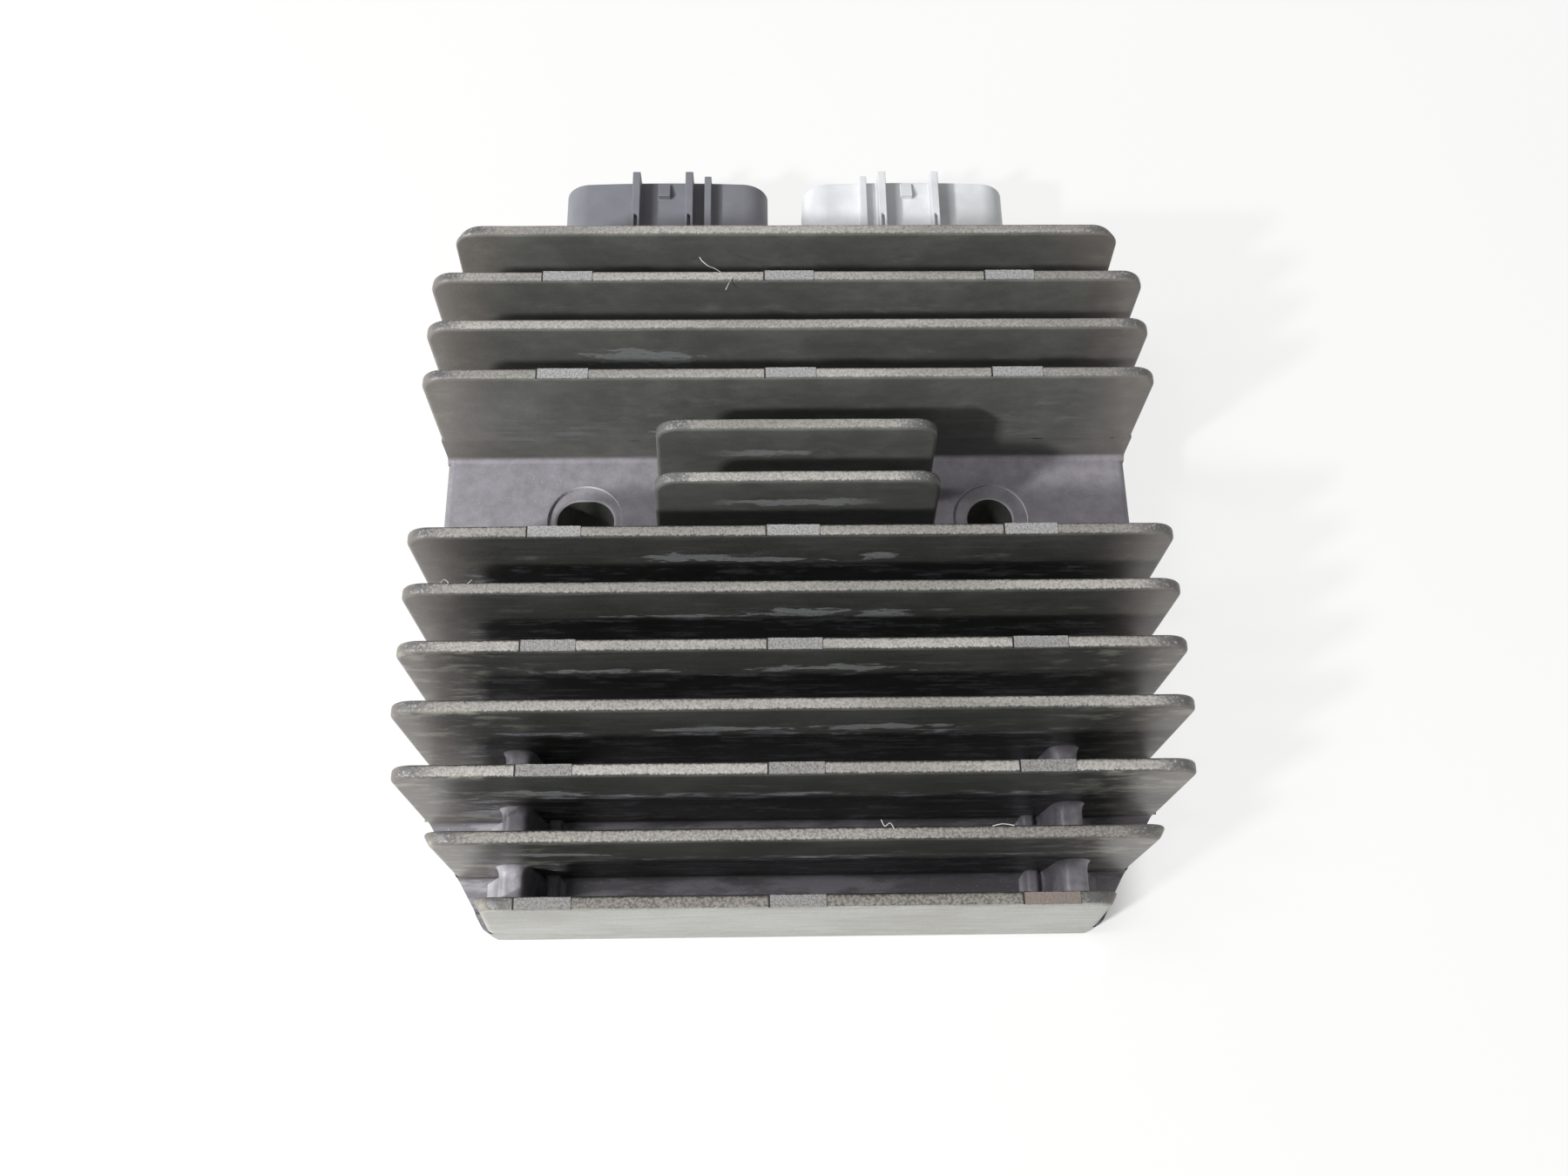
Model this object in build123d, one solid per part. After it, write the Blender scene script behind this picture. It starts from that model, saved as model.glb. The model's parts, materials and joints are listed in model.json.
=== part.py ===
from build123d import *
from math import radians, sqrt, tan
import os

# Voltage regulator rectifier: a finned aluminium casting with two moulded connector
# housings at its rear end and a resin-filled pocket of electronics underneath.
# Frame: origin midway between the two mounting holes on the mounting face, +Z up
# along the fins, +Y towards the connectors, +X to the right.

# Fin stack, numbered from the connector end
FIN_COUNT = 13
FIRST_SHORT_FIN = 5
LAST_SHORT_FIN = 6
FIN_PITCH = 8.0
FIN_TOP = 38.0
FRONT_TIP_DROPS = {11: 1.6, 12: 3.8, 13: 5.75}
FIN_TIP_THICKNESS = 1.8
FIN_FACE_DRAFT = 1.2
FIN_END_DRAFT = 2.8
FIN_CORNER_RADIUS = 3.3
EDGE_BREAK = 0.4
ROOT_RADIUS = 1.0
ROOT_HEIGHT = 1.4
FIN_END_INSET = 0.05
FRONT_FIN_END_DRAFT = 5.8
FRONT_FIN_END_INSET = 0.7
SHORT_FIN_WIDTH = 38.9
SHORT_FIN_SHIFT = 0.75

# Cast pads on the fin tips
PAD_FINS = (2, 4, 7, 9, 11, 13)
PAD_SPACING = 32.0
PAD_WIDTH = 7.3
PAD_RISE = 0.08
PAD_LENGTH = 0.9

# Base levels above the mounting face
CHANNEL_FLOOR = 7.85
MOUNT_FLOOR = 13.85
REAR_DECK = 18.5
DRAFT_START = 4.5
FOOT_CHAMFER = 0.6

# Plan outline of the casting at its foot
SIDE_X = 53.65
REAR_Y = 44.0
REAR_CORNER_RADIUS = 18.0
FRONT_CORNER_X = 43.8
SIDE_CORNER_Y = -44.6
SIDE_CORNER_RADIUS = 4.0
FRONT_CORNER_RADIUS = 2.5

# Mounting hole, slot and their machined spotfaces
HOLE_SPACING = 62.8
HOLE_RADIUS = 3.5
SLOT_LENGTH = 8.8
SPOTFACE_RADIUS = 5.82
SPOTFACE_DEPTH = 0.6

# Webs and low ribs in the front channels
WEB_FIRST_FIN = 10
WEB_X = 38.7
WEB_TOP_WIDTH = 3.6
WEB_TOP = 18.2
WEB_DRAFT = 4.0
WEB_EDGE_BREAK = 0.7
WEB_OUTER_ROOT_RADIUS = 3.0
LOW_RIB_X = 34.4
LOW_RIB_WIDTH = 1.8
LOW_RIB_HEIGHT = 1.7

# Pocket under the casting
RIM_WIDTH = 5.4
POCKET_CORNER_BREAK = 2.0
POCKET_REAR_RADIUS = 10.0
FRONT_ROOF = 5.6
REAR_ROOF = 16.0
WAIST_WIDTH = 38.0
LOBE_LENGTH = 29.0
RESIN_RECESS = 0.5

# Connector housings
CONNECTOR_X = 20.2
CONNECTOR_SHIFT = 0.3
CONNECTOR_WIDTH = 34.4
CONNECTOR_HEIGHT = 15.0
CONNECTOR_BOTTOM = 0.75
CONNECTOR_CROWN = 0.65
CONNECTOR_RADIUS = 4.5
SHELL_WALL = 1.6
SOCKET_FLOOR = 2.0
NECK_INSET = 1.2
NECK_RADIUS = 2.5
NECK_CLEARANCE = 0.1
INNER_FLANGE = 2.0

# Keying ribs on the connector shells: offset from the shell's centre, towards the
# other connector, and the ribs' sizes
TALL_RIB_OFFSETS = (-4.7, 4.1)
SHORT_RIB_OFFSET = 7.15
TALL_RIB_WIDTH = 1.3
SHORT_RIB_WIDTH = 1.15
TALL_RIB_RISE = 3.0
SHORT_RIB_RISE = 1.75
RIB_GROOVE_WIDTH = 0.5
RIB_GROOVE_DEPTH = 0.9
RIB_GROOVE_END = 8.4
LOCK_OFFSET = -0.2
LOCK_WIDTH = 2.0
LOCK_LENGTH = 2.9
LOCK_SETBACK = 0.5
LOCK_RISE = 1.1
LOCK_LIP = 0.4

# Blade terminals
BLADE_WIDTH = 6.3
BLADE_THICKNESS = 0.8
BLADE_SETBACK = 6.0
BLADE_INNER_REACH = 6.1
TAIL_WIDTH = 2.8
AC_BLADE_COUNT = 3
DC_BLADE_COUNT = 2
AC_BLADE_GAP = 2.9
DC_BLADE_GAP = 6.7
BLADE_TIP_CHAMFER = 0.3

# Circuit board and the parts on it
BOARD_THICKNESS = 1.2
BOARD_BOTTOM = 1.6
BOARD_MARGIN = 1.2
SHEET_THICKNESS = 0.25
SHEET_WIDTH = 84.0
SHEET_LENGTH = 17.0
DEVICE_COUNT = 6
DEVICE_PITCH = 13.6
DEVICE_Y = -29.0
DEVICE_WIDTH = 11.0
DEVICE_LENGTH = 10.0
DEVICE_THICKNESS = 2.1
LEAD_WIDTH = 1.0
LEAD_PITCH = 3.2
LEAD_THICKNESS = 0.5
LEAD_REACH = 2.2
CHIP_X = 0.0
CHIP_Y = 23.0
CHIP_WIDTH = 6.2
CHIP_LENGTH = 9.9
CHIP_HEIGHT = 1.7
CHIP_LEGS_PER_SIDE = 4
CHIP_LEG_PITCH = 2.54
CHIP_LEG_WIDTH = 0.8
CHIP_LEG_REACH = 1.6
CAPACITOR_X = 36.0
CAPACITOR_RADIUS = 4.0
CAPACITOR_HEIGHT = 9.5
BYPASS_X = 24.5
BYPASS_SIZE = (7.2, 3.5, 6.5)
REFERENCE_X = 14.0
REFERENCE_SIZE = (2.6, 4.3, 2.2)
DRIVER_X = -24.0
DRIVER_PITCH = 8.0
DRIVER_SPREAD = 3.6
TRANSISTOR_SIZE = (4.5, 2.5, 1.5)
RESISTOR_SIZE = (3.2, 6.4, 0.8)
END_TAB_REACH = 0.7
END_TAB_SHARE = 0.5

# Modelling allowances: reach of a cutting or trimming shape past what it meets, and
# the tolerance for picking out edges and corners by their place
OVERCUT = 1.0
PICK_TOLERANCE = 1e-3

# Values that follow from the sizes above
FACE_SLOPE = tan(radians(FIN_FACE_DRAFT))
END_SLOPE = tan(radians(FIN_END_DRAFT))
FRONT_END_SLOPE = tan(radians(FRONT_FIN_END_DRAFT))
LONG_FINS = [
    n for n in range(1, FIN_COUNT + 1) if not FIRST_SHORT_FIN <= n <= LAST_SHORT_FIN
]


def fin_y(number):
    """Centre plane of a fin; the short fins stand evenly about the mounting holes."""
    return ((FIRST_SHORT_FIN + LAST_SHORT_FIN) / 2 - number) * FIN_PITCH


def fin_tip(number):
    """Height of a fin's tip; the last fins step down towards the front."""
    return FIN_TOP - FRONT_TIP_DROPS.get(number, 0.0)


def fin_half(number, level):
    """Half thickness of a fin at a level, with its face draft."""
    return FIN_TIP_THICKNESS / 2 + FACE_SLOPE * (fin_tip(number) - level)


def floor_behind(number):
    """Level of the floor on the connector side of a fin."""
    if number < FIRST_SHORT_FIN:
        return REAR_DECK
    if number <= LAST_SHORT_FIN + 1:
        return MOUNT_FLOOR
    return CHANNEL_FLOOR


FRONT_Y = fin_y(FIN_COUNT) - fin_half(FIN_COUNT, CHANNEL_FLOOR)
MOUTH_Y = -FRONT_Y
FRONT_SLANT = (SIDE_X - FRONT_CORNER_X) / (SIDE_CORNER_Y - FRONT_Y)
POCKET_REAR_Y = REAR_Y - RIM_WIDTH
SHELL_TOP = CONNECTOR_BOTTOM + CONNECTOR_HEIGHT
NECK_TOP = SHELL_TOP - NECK_INSET
NECK_WIDTH = CONNECTOR_WIDTH - 2 * NECK_INSET
BLADE_Z = CONNECTOR_BOTTOM + CONNECTOR_HEIGHT / 2
BLADE_INNER_Y = POCKET_REAR_Y - BLADE_INNER_REACH
BOARD_TOP = BOARD_BOTTOM + BOARD_THICKNESS
DEVICE_TOP = FRONT_ROOF - SHEET_THICKNESS


def block(x_range, y_range, z_range):
    """Box between two corners given as ranges."""
    size = [high - low for low, high in (x_range, y_range, z_range)]
    middle = [(high + low) / 2 for low, high in (x_range, y_range, z_range)]
    return Pos(*middle) * Box(*size)


def about(centre, width):
    """Range of a given width about its centre."""
    return (centre - width / 2, centre + width / 2)


def plan_outline(shrink=0.0, front_relief=0.0, rear_radius=REAR_CORNER_RADIUS):
    """Plan outline of the casting, moved inwards by shrink, or forwards at its front."""
    stretch = sqrt(1 + FRONT_SLANT**2)
    front_y = FRONT_Y - front_relief + shrink
    side = SIDE_X - shrink
    side_y = SIDE_CORNER_Y + shrink * (stretch - 1) / FRONT_SLANT
    front_x = side - FRONT_SLANT * (side_y - front_y)
    rear_y = REAR_Y - shrink
    corners = [
        (-front_x, front_y),
        (front_x, front_y),
        (side, side_y),
        (side, rear_y),
        (-side, rear_y),
        (-side, side_y),
    ]
    face = Polygon(*corners, align=None)
    for y, radius in (
        (rear_y, rear_radius),
        (side_y, SIDE_CORNER_RADIUS),
        (front_y, FRONT_CORNER_RADIUS),
    ):
        picked = [v for v in face.vertices() if abs(v.Y - y) < PICK_TOLERANCE]
        face = fillet(picked, radius)
    return face


def side_at(y):
    """Half width of the plan outline at the foot, without its small corner radii."""
    rear_arc_y = REAR_Y - REAR_CORNER_RADIUS
    if y > rear_arc_y:
        return SIDE_X - REAR_CORNER_RADIUS + sqrt(REAR_CORNER_RADIUS**2 - (y - rear_arc_y) ** 2)
    return SIDE_X - FRONT_SLANT * max(0.0, SIDE_CORNER_Y - y)


def side_slope(y):
    """How fast the half width grows towards the connectors."""
    step = PICK_TOLERANCE
    return (side_at(y + step) - side_at(y - step)) / (2 * step)


def root_top(number):
    """Level where a fin leaves its cast root."""
    return max(floor_behind(number), floor_behind(number + 1)) + ROOT_HEIGHT


def base_section():
    """Lengthwise section of the casting's base, with the roots of the long fins."""
    points = [(REAR_Y, 0), (REAR_Y, REAR_DECK)]
    feet = []
    for number in LONG_FINS:
        y = fin_y(number)
        top = root_top(number)
        rear_floor = floor_behind(number)
        front_floor = floor_behind(number + 1)
        rear_foot = (y + fin_half(number, rear_floor), rear_floor)
        front_foot = (y - fin_half(number, front_floor), front_floor)
        half = fin_half(number, top)
        points += [rear_foot, (y + half, top), (y - half, top), front_foot]
        feet += [rear_foot, front_foot]
    points += [(FRONT_Y, FOOT_CHAMFER), (FRONT_Y + FOOT_CHAMFER, 0)]
    feet.pop()
    face = Plane.YZ * Polygon(*points, align=None)
    roots = [
        v
        for v in face.vertices()
        if any(abs(v.Y - y) < PICK_TOLERANCE and abs(v.Z - z) < PICK_TOLERANCE for y, z in feet)
    ]
    return fillet(roots, ROOT_RADIUS)


def cast_base():
    """Base of the casting inside its drafted plan outline, with its foot chamfered."""
    relief = END_SLOPE * (root_top(FIN_COUNT) - DRAFT_START)
    outline = plan_outline(front_relief=relief)
    foot = extrude(outline, DRAFT_START)
    foot = chamfer(foot.edges().group_by(Axis.Z)[0], FOOT_CHAMFER)
    upper = extrude(Pos(0, 0, DRAFT_START) * outline, FIN_TOP - DRAFT_START, taper=FIN_END_DRAFT)
    return extrude(base_section(), SIDE_X + OVERCUT, both=True) & (foot + upper)


def fin_section(number, foot):
    """Cross section of a fin above its foot: drafted faces and broken tip edges."""
    y = fin_y(number)
    tip = fin_tip(number)
    half = fin_half(number, foot)
    section = Plane.YZ * Polygon(
        (y - half, foot),
        (y - FIN_TIP_THICKNESS / 2, tip),
        (y + FIN_TIP_THICKNESS / 2, tip),
        (y + half, foot),
        align=None,
    )
    return chamfer(section.vertices().group_by(Axis.Z)[-1], EDGE_BREAK)


def long_fin(number):
    """One long fin above its root, with drafted ends that follow the plan outline."""
    y = fin_y(number)
    tip = fin_tip(number)
    foot = root_top(number)
    fin = extrude(fin_section(number, foot), SIDE_X + OVERCUT, both=True)
    slope = side_slope(y)
    stretch = sqrt(1 + slope**2)
    in_front = number == FIN_COUNT
    inset = FRONT_FIN_END_INSET if in_front else FIN_END_INSET
    end_slope = stretch * (FRONT_END_SLOPE if in_front else END_SLOPE)
    foot_x = side_at(y) - inset - stretch * END_SLOPE * (foot - DRAFT_START)
    tip_x = foot_x - end_slope * (tip - foot)
    for side in (1, -1):
        view = Plane.XZ * Polygon(
            (-side * SIDE_X, foot - OVERCUT),
            (side * (foot_x + end_slope * OVERCUT), foot - OVERCUT),
            (side * tip_x, tip),
            (-side * SIDE_X, tip),
            align=None,
        )
        corner = view.vertices().group_by(Axis.Z)[-1].sort_by(lambda v: side * v.X)[-1]
        view = fillet(corner, FIN_CORNER_RADIUS)
        along = Vector(side * slope, 1, 0).normalized()
        fin = fin & extrude(Pos(0, y, 0) * view, FIN_PITCH, dir=along, both=True)
    return fin


def short_fin(number):
    """One short fin of the mounting bay, drafted on all sides."""
    tip_half = SHORT_FIN_WIDTH / 2
    foot_half = tip_half + END_SLOPE * (FIN_TOP - MOUNT_FLOOR)
    view = Plane.XZ * Polygon(
        (SHORT_FIN_SHIFT - foot_half, MOUNT_FLOOR),
        (SHORT_FIN_SHIFT + foot_half, MOUNT_FLOOR),
        (SHORT_FIN_SHIFT + tip_half, FIN_TOP),
        (SHORT_FIN_SHIFT - tip_half, FIN_TOP),
        align=None,
    )
    view = Pos(0, fin_y(number), 0) * fillet(view.vertices().group_by(Axis.Z)[-1], FIN_CORNER_RADIUS)
    section = fin_section(number, MOUNT_FLOOR)
    return extrude(section, SIDE_X, both=True) & extrude(view, FIN_PITCH, both=True)


def tip_pads():
    """Flat cast pads on the tips of every other fin, three to a fin."""
    pads = []
    for number in PAD_FINS:
        tip = fin_tip(number)
        for column in (-1, 0, 1):
            pads.append(
                block(
                    about(column * PAD_SPACING, PAD_WIDTH),
                    about(fin_y(number), PAD_LENGTH),
                    (tip - EDGE_BREAK, tip + PAD_RISE),
                )
            )
    return pads


def front_webs():
    """Lengthwise web and low rib on each side of the front channels."""
    web_half = WEB_TOP_WIDTH / 2
    foot_half = web_half + tan(radians(WEB_DRAFT)) * (WEB_TOP - CHANNEL_FLOOR)
    slab = CHANNEL_FLOOR - OVERCUT
    slab_half = foot_half + WEB_OUTER_ROOT_RADIUS
    solids = []
    for side in (1, -1):
        web = Plane.XZ * Polygon(
            *[
                (side * (WEB_X + x), z)
                for x, z in (
                    (-slab_half, slab),
                    (slab_half, slab),
                    (slab_half, CHANNEL_FLOOR),
                    (foot_half, CHANNEL_FLOOR),
                    (web_half, WEB_TOP),
                    (-web_half, WEB_TOP),
                    (-foot_half, CHANNEL_FLOOR),
                    (-slab_half, CHANNEL_FLOOR),
                )
            ],
            align=None,
        )
        web = chamfer(web.vertices().group_by(Axis.Z)[-1], WEB_EDGE_BREAK)
        root_x = side * (WEB_X + foot_half)
        root = [v for v in web.vertices() if abs(v.X - root_x) < PICK_TOLERANCE]
        web = fillet(root, WEB_OUTER_ROOT_RADIUS)
        rib_height = LOW_RIB_HEIGHT + OVERCUT
        rib = Plane.XZ * Pos(side * LOW_RIB_X, slab + rib_height / 2)
        rib = rib * Rectangle(LOW_RIB_WIDTH, rib_height)
        for view in (web, rib):
            solids.append(along_y(view, fin_y(FIN_COUNT), fin_y(WEB_FIRST_FIN)))
    return solids


def pocket_plan(margin=0.0):
    """Plan of the pocket, or of what lies inside it by a margin."""
    plan = plan_outline(RIM_WIDTH + margin, rear_radius=POCKET_REAR_RADIUS - margin)
    for side in (1, -1):
        inner_x = WAIST_WIDTH / 2 - margin
        middle_x = side * (inner_x + SIDE_X) / 2
        plan -= Pos(middle_x, 0) * Rectangle(SIDE_X - inner_x, LOBE_LENGTH + 2 * margin)
    lobe_y = LOBE_LENGTH / 2 + margin
    sharp = [v for v in plan.vertices() if abs(abs(v.Y) - lobe_y) < PICK_TOLERANCE]
    return chamfer(sharp, POCKET_CORNER_BREAK)


def pocket(bottom):
    """Space inside the pocket above a level: shallow in front, deep at the rear."""
    plan = pocket_plan()
    rear_block = block((-SIDE_X, SIDE_X), (LOBE_LENGTH / 2, REAR_Y), (bottom, REAR_ROOF))
    shallow = extrude(Pos(0, 0, bottom) * plan, FRONT_ROOF - bottom)
    deep = extrude(Pos(0, 0, bottom) * plan, REAR_ROOF - bottom) & rear_block
    return shallow + deep


def neck_view(centre_x, bottom, grow=0.0):
    """End view of a connector's neck, or of its port: with rounded upper corners."""
    height = NECK_TOP + grow - bottom
    view = Plane.XZ * Pos(centre_x, bottom + height / 2) * Rectangle(NECK_WIDTH + 2 * grow, height)
    return fillet(view.vertices().group_by(Axis.Z)[-1], NECK_RADIUS + grow)


def along_y(view, start_y, end_y):
    """Extrude a view drawn on the XZ plane from one Y to another."""
    return Pos(0, end_y, 0) * extrude(view, end_y - start_y, dir=(0, -1, 0))


def heat_sink():
    """The whole casting."""
    casting = cast_base()
    for number in range(1, FIN_COUNT + 1):
        casting += long_fin(number) if number in LONG_FINS else short_fin(number)
    feet = [
        e
        for e in casting.edges()
        if abs(e.center().Z - MOUNT_FLOOR) < PICK_TOLERANCE
        and abs(e.center().Y) < FIN_PITCH
        and abs(e.center().X) < SHORT_FIN_WIDTH
    ]
    casting = fillet(feet, ROOT_RADIUS)
    casting = casting + front_webs() + tip_pads()
    casting -= pocket(0.0)
    right_x = HOLE_SPACING / 2
    casting -= extrude(Pos(right_x, 0) * Circle(HOLE_RADIUS), FIN_TOP)
    casting -= extrude(Pos(-right_x, 0) * SlotOverall(SLOT_LENGTH, 2 * HOLE_RADIUS), FIN_TOP)
    for side in (1, -1):
        seat = Pos(side * right_x, 0, MOUNT_FLOOR - SPOTFACE_DEPTH)
        casting -= seat * extrude(Circle(SPOTFACE_RADIUS), SPOTFACE_DEPTH + OVERCUT)
        port = neck_view(connector_x(side), 0.0, NECK_CLEARANCE)
        casting -= along_y(port, POCKET_REAR_Y - OVERCUT, REAR_Y + OVERCUT)
    return casting


def connector_x(side):
    """Middle of a connector: the pair stands a little to the right of the casting."""
    return CONNECTOR_SHIFT + side * CONNECTOR_X


def blade_places(side, count, gap):
    """Middles of a connector's blades: a centred row with a gap between neighbours."""
    pitch = BLADE_WIDTH + gap
    return [connector_x(side) + pitch * (i - (count - 1) / 2) for i in range(count)]


def shell_view(centre_x, inset=0.0):
    """End view of a connector shell: rounded corners and a slightly crowned top."""
    half = CONNECTOR_WIDTH / 2 - inset
    low = CONNECTOR_BOTTOM + inset
    high = SHELL_TOP - inset
    shoulder = high - CONNECTOR_CROWN
    outline = Line((-half, shoulder), (-half, low)) + Line((-half, low), (half, low))
    outline += Line((half, low), (half, shoulder))
    outline += ThreePointArc((half, shoulder), (0, high), (-half, shoulder))
    view = Plane.XZ * Pos(centre_x, 0) * make_face(outline)
    return fillet(view.vertices(), CONNECTOR_RADIUS - inset)


def connector_housing(side, blade_xs):
    """Moulded housing: shell, keying ribs, lock, and a neck that grips the rear wall."""
    centre_x = connector_x(side)
    housing = along_y(shell_view(centre_x), REAR_Y, MOUTH_Y)
    top = SHELL_TOP
    for offset, width, rise in (
        (TALL_RIB_OFFSETS[0], TALL_RIB_WIDTH, TALL_RIB_RISE),
        (TALL_RIB_OFFSETS[1], TALL_RIB_WIDTH, TALL_RIB_RISE),
        (SHORT_RIB_OFFSET, SHORT_RIB_WIDTH, SHORT_RIB_RISE),
    ):
        x = centre_x - side * offset
        rib = block(about(x, width), (REAR_Y, MOUTH_Y), (top - SHELL_WALL, top + rise))
        if rise == TALL_RIB_RISE:
            rib -= block(
                about(x, RIB_GROOVE_WIDTH),
                (REAR_Y, MOUTH_Y - RIB_GROOVE_END),
                (top + rise - RIB_GROOVE_DEPTH, top + rise),
            )
        housing += rib
    lock_x = centre_x - side * LOCK_OFFSET
    lock_y = MOUTH_Y - LOCK_SETBACK
    lock = Plane.YZ * Polygon(
        (lock_y - LOCK_LENGTH, top - SHELL_WALL),
        (lock_y, top - SHELL_WALL),
        (lock_y, top + LOCK_LIP),
        (lock_y - LOCK_LENGTH, top + LOCK_RISE),
        align=None,
    )
    housing += Pos(lock_x, 0, 0) * extrude(lock, LOCK_WIDTH / 2, both=True)
    socket = shell_view(centre_x, SHELL_WALL)
    housing -= along_y(socket, REAR_Y + SOCKET_FLOOR, MOUTH_Y + OVERCUT)
    housing += along_y(neck_view(centre_x, RESIN_RECESS), POCKET_REAR_Y, REAR_Y)
    flange = block(
        about(centre_x, CONNECTOR_WIDTH),
        (POCKET_REAR_Y - INNER_FLANGE, POCKET_REAR_Y),
        (RESIN_RECESS, SHELL_TOP),
    )
    housing += flange
    for x in blade_xs:
        housing -= block(
            about(x, BLADE_WIDTH),
            (BLADE_INNER_Y, REAR_Y + SOCKET_FLOOR),
            about(BLADE_Z, BLADE_THICKNESS),
        )
    return housing


def blade(x):
    """Flat blade terminal with a tail bent down to the circuit board."""
    tip_y = MOUTH_Y - BLADE_SETBACK
    flat = block(about(x, BLADE_WIDTH), (BLADE_INNER_Y, tip_y), about(BLADE_Z, BLADE_THICKNESS))
    flat = chamfer(flat.faces().sort_by(Axis.Y)[-1].edges(), BLADE_TIP_CHAMFER)
    tail = block(
        about(x, TAIL_WIDTH),
        (BLADE_INNER_Y, BLADE_INNER_Y + BLADE_THICKNESS),
        (BOARD_TOP, BLADE_Z),
    )
    return flat + tail


def power_device(x, lead_columns):
    """Flat moulded power device with its leads bent down to the board."""
    rear_y = DEVICE_Y + DEVICE_LENGTH / 2
    body = block(
        about(x, DEVICE_WIDTH),
        about(DEVICE_Y, DEVICE_LENGTH),
        (DEVICE_TOP - DEVICE_THICKNESS, DEVICE_TOP),
    )
    lead_z = DEVICE_TOP - DEVICE_THICKNESS / 2
    for column in lead_columns:
        lead_x = about(x + column * LEAD_PITCH, LEAD_WIDTH)
        body += block(lead_x, (rear_y, rear_y + LEAD_REACH), about(lead_z, LEAD_THICKNESS))
        body += block(
            lead_x,
            (rear_y + LEAD_REACH - LEAD_THICKNESS, rear_y + LEAD_REACH),
            (BOARD_TOP, lead_z),
        )
    return body


def control_chip():
    """Control circuit in a flat package with four legs on each side."""
    legs_top = BOARD_TOP + CHIP_HEIGHT / 2
    body = block(
        about(CHIP_X, CHIP_WIDTH), about(CHIP_Y, CHIP_LENGTH), (BOARD_TOP, BOARD_TOP + CHIP_HEIGHT)
    )
    for row in range(CHIP_LEGS_PER_SIDE):
        y = CHIP_Y + (row - (CHIP_LEGS_PER_SIDE - 1) / 2) * CHIP_LEG_PITCH
        span = CHIP_WIDTH + 2 * CHIP_LEG_REACH
        body += block(about(CHIP_X, span), about(y, CHIP_LEG_WIDTH), (BOARD_TOP, legs_top))
    return body


def moulded_part(x, y, size):
    """Plain moulded part that lies flat on the board."""
    width, length, height = size
    return block(about(x, width), about(y, length), (BOARD_TOP, BOARD_TOP + height))


def tabbed_part(x, y, size):
    """Moulded part with a soldering tab under each end."""
    width, length, height = size
    tab_size = (width * END_TAB_SHARE, length + 2 * END_TAB_REACH, height * END_TAB_SHARE)
    return moulded_part(x, y, size) + moulded_part(x, y, tab_size)


def part_row(count, x, y, pitch, size):
    """Like moulded parts side by side on the board, as separate solids."""
    return [moulded_part(x + (i - (count - 1) / 2) * pitch, y, size) for i in range(count)]


def circuit_board():
    """Board that follows the pocket's plan and takes the ends of all the leads."""
    board = extrude(Pos(0, 0, BOARD_BOTTOM) * pocket_plan(BOARD_MARGIN), BOARD_THICKNESS)
    rear_y = POCKET_REAR_Y - INNER_FLANGE - BOARD_MARGIN
    return board - block((-SIDE_X, SIDE_X), (rear_y, REAR_Y), (0, FRONT_ROOF))


def as_one(solids):
    """Keep like solids together in one node."""
    return Compound(children=list(solids))


def all_nodes():
    """Every node of the part by name."""
    ac_xs = blade_places(-1, AC_BLADE_COUNT, AC_BLADE_GAP)
    dc_xs = blade_places(1, DC_BLADE_COUNT, DC_BLADE_GAP)
    nodes = {
        "heat_sink": heat_sink(),
        "ac_connector_housing": connector_housing(-1, ac_xs),
        "dc_connector_housing": connector_housing(1, dc_xs),
    }
    for i, x in enumerate(ac_xs, start=1):
        nodes[f"ac_terminal_{i}"] = blade(x)
    for name, x in zip(("dc_terminal_negative", "dc_terminal_positive"), dc_xs):
        nodes[name] = blade(x)
    for i in range(DEVICE_COUNT):
        kind, lead_columns = (("thyristor", (-1, 0, 1)), ("diode", (-1, 1)))[i % 2]
        x = (i - (DEVICE_COUNT - 1) / 2) * DEVICE_PITCH
        nodes[f"{kind}_{i // 2 + 1}"] = power_device(x, lead_columns)
    nodes["circuit_board"] = circuit_board()
    nodes["insulating_sheet"] = block(
        about(0, SHEET_WIDTH), about(DEVICE_Y, SHEET_LENGTH), (DEVICE_TOP, FRONT_ROOF)
    )
    nodes["control_chip"] = control_chip()
    nodes["reference_diode"] = tabbed_part(REFERENCE_X, CHIP_Y, REFERENCE_SIZE)
    can = Pos(CAPACITOR_X, CHIP_Y, BOARD_TOP) * Circle(CAPACITOR_RADIUS)
    nodes["filter_capacitor"] = extrude(can, CAPACITOR_HEIGHT)
    nodes["bypass_capacitor"] = moulded_part(BYPASS_X, CHIP_Y, BYPASS_SIZE)
    drivers, gates = (
        part_row(AC_BLADE_COUNT, DRIVER_X, CHIP_Y + shift, DRIVER_PITCH, size)
        for shift, size in ((-DRIVER_SPREAD, TRANSISTOR_SIZE), (DRIVER_SPREAD, RESISTOR_SIZE))
    )
    filling = pocket(RESIN_RECESS)
    inside = [shape for name, shape in nodes.items() if name != "heat_sink"] + drivers + gates
    for shape in inside:
        filling -= shape
    nodes["driver_transistors"] = as_one(drivers)
    nodes["gate_resistors"] = as_one(gates)
    nodes["potting_compound"] = filling
    return nodes


def main():
    os.makedirs("parts", exist_ok=True)
    for name, shape in all_nodes().items():
        export_step(shape, f"parts/{name}.step")


if __name__ == "__main__":
    main()
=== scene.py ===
"""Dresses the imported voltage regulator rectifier: cast fins, connectors, finishes, stage."""

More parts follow.
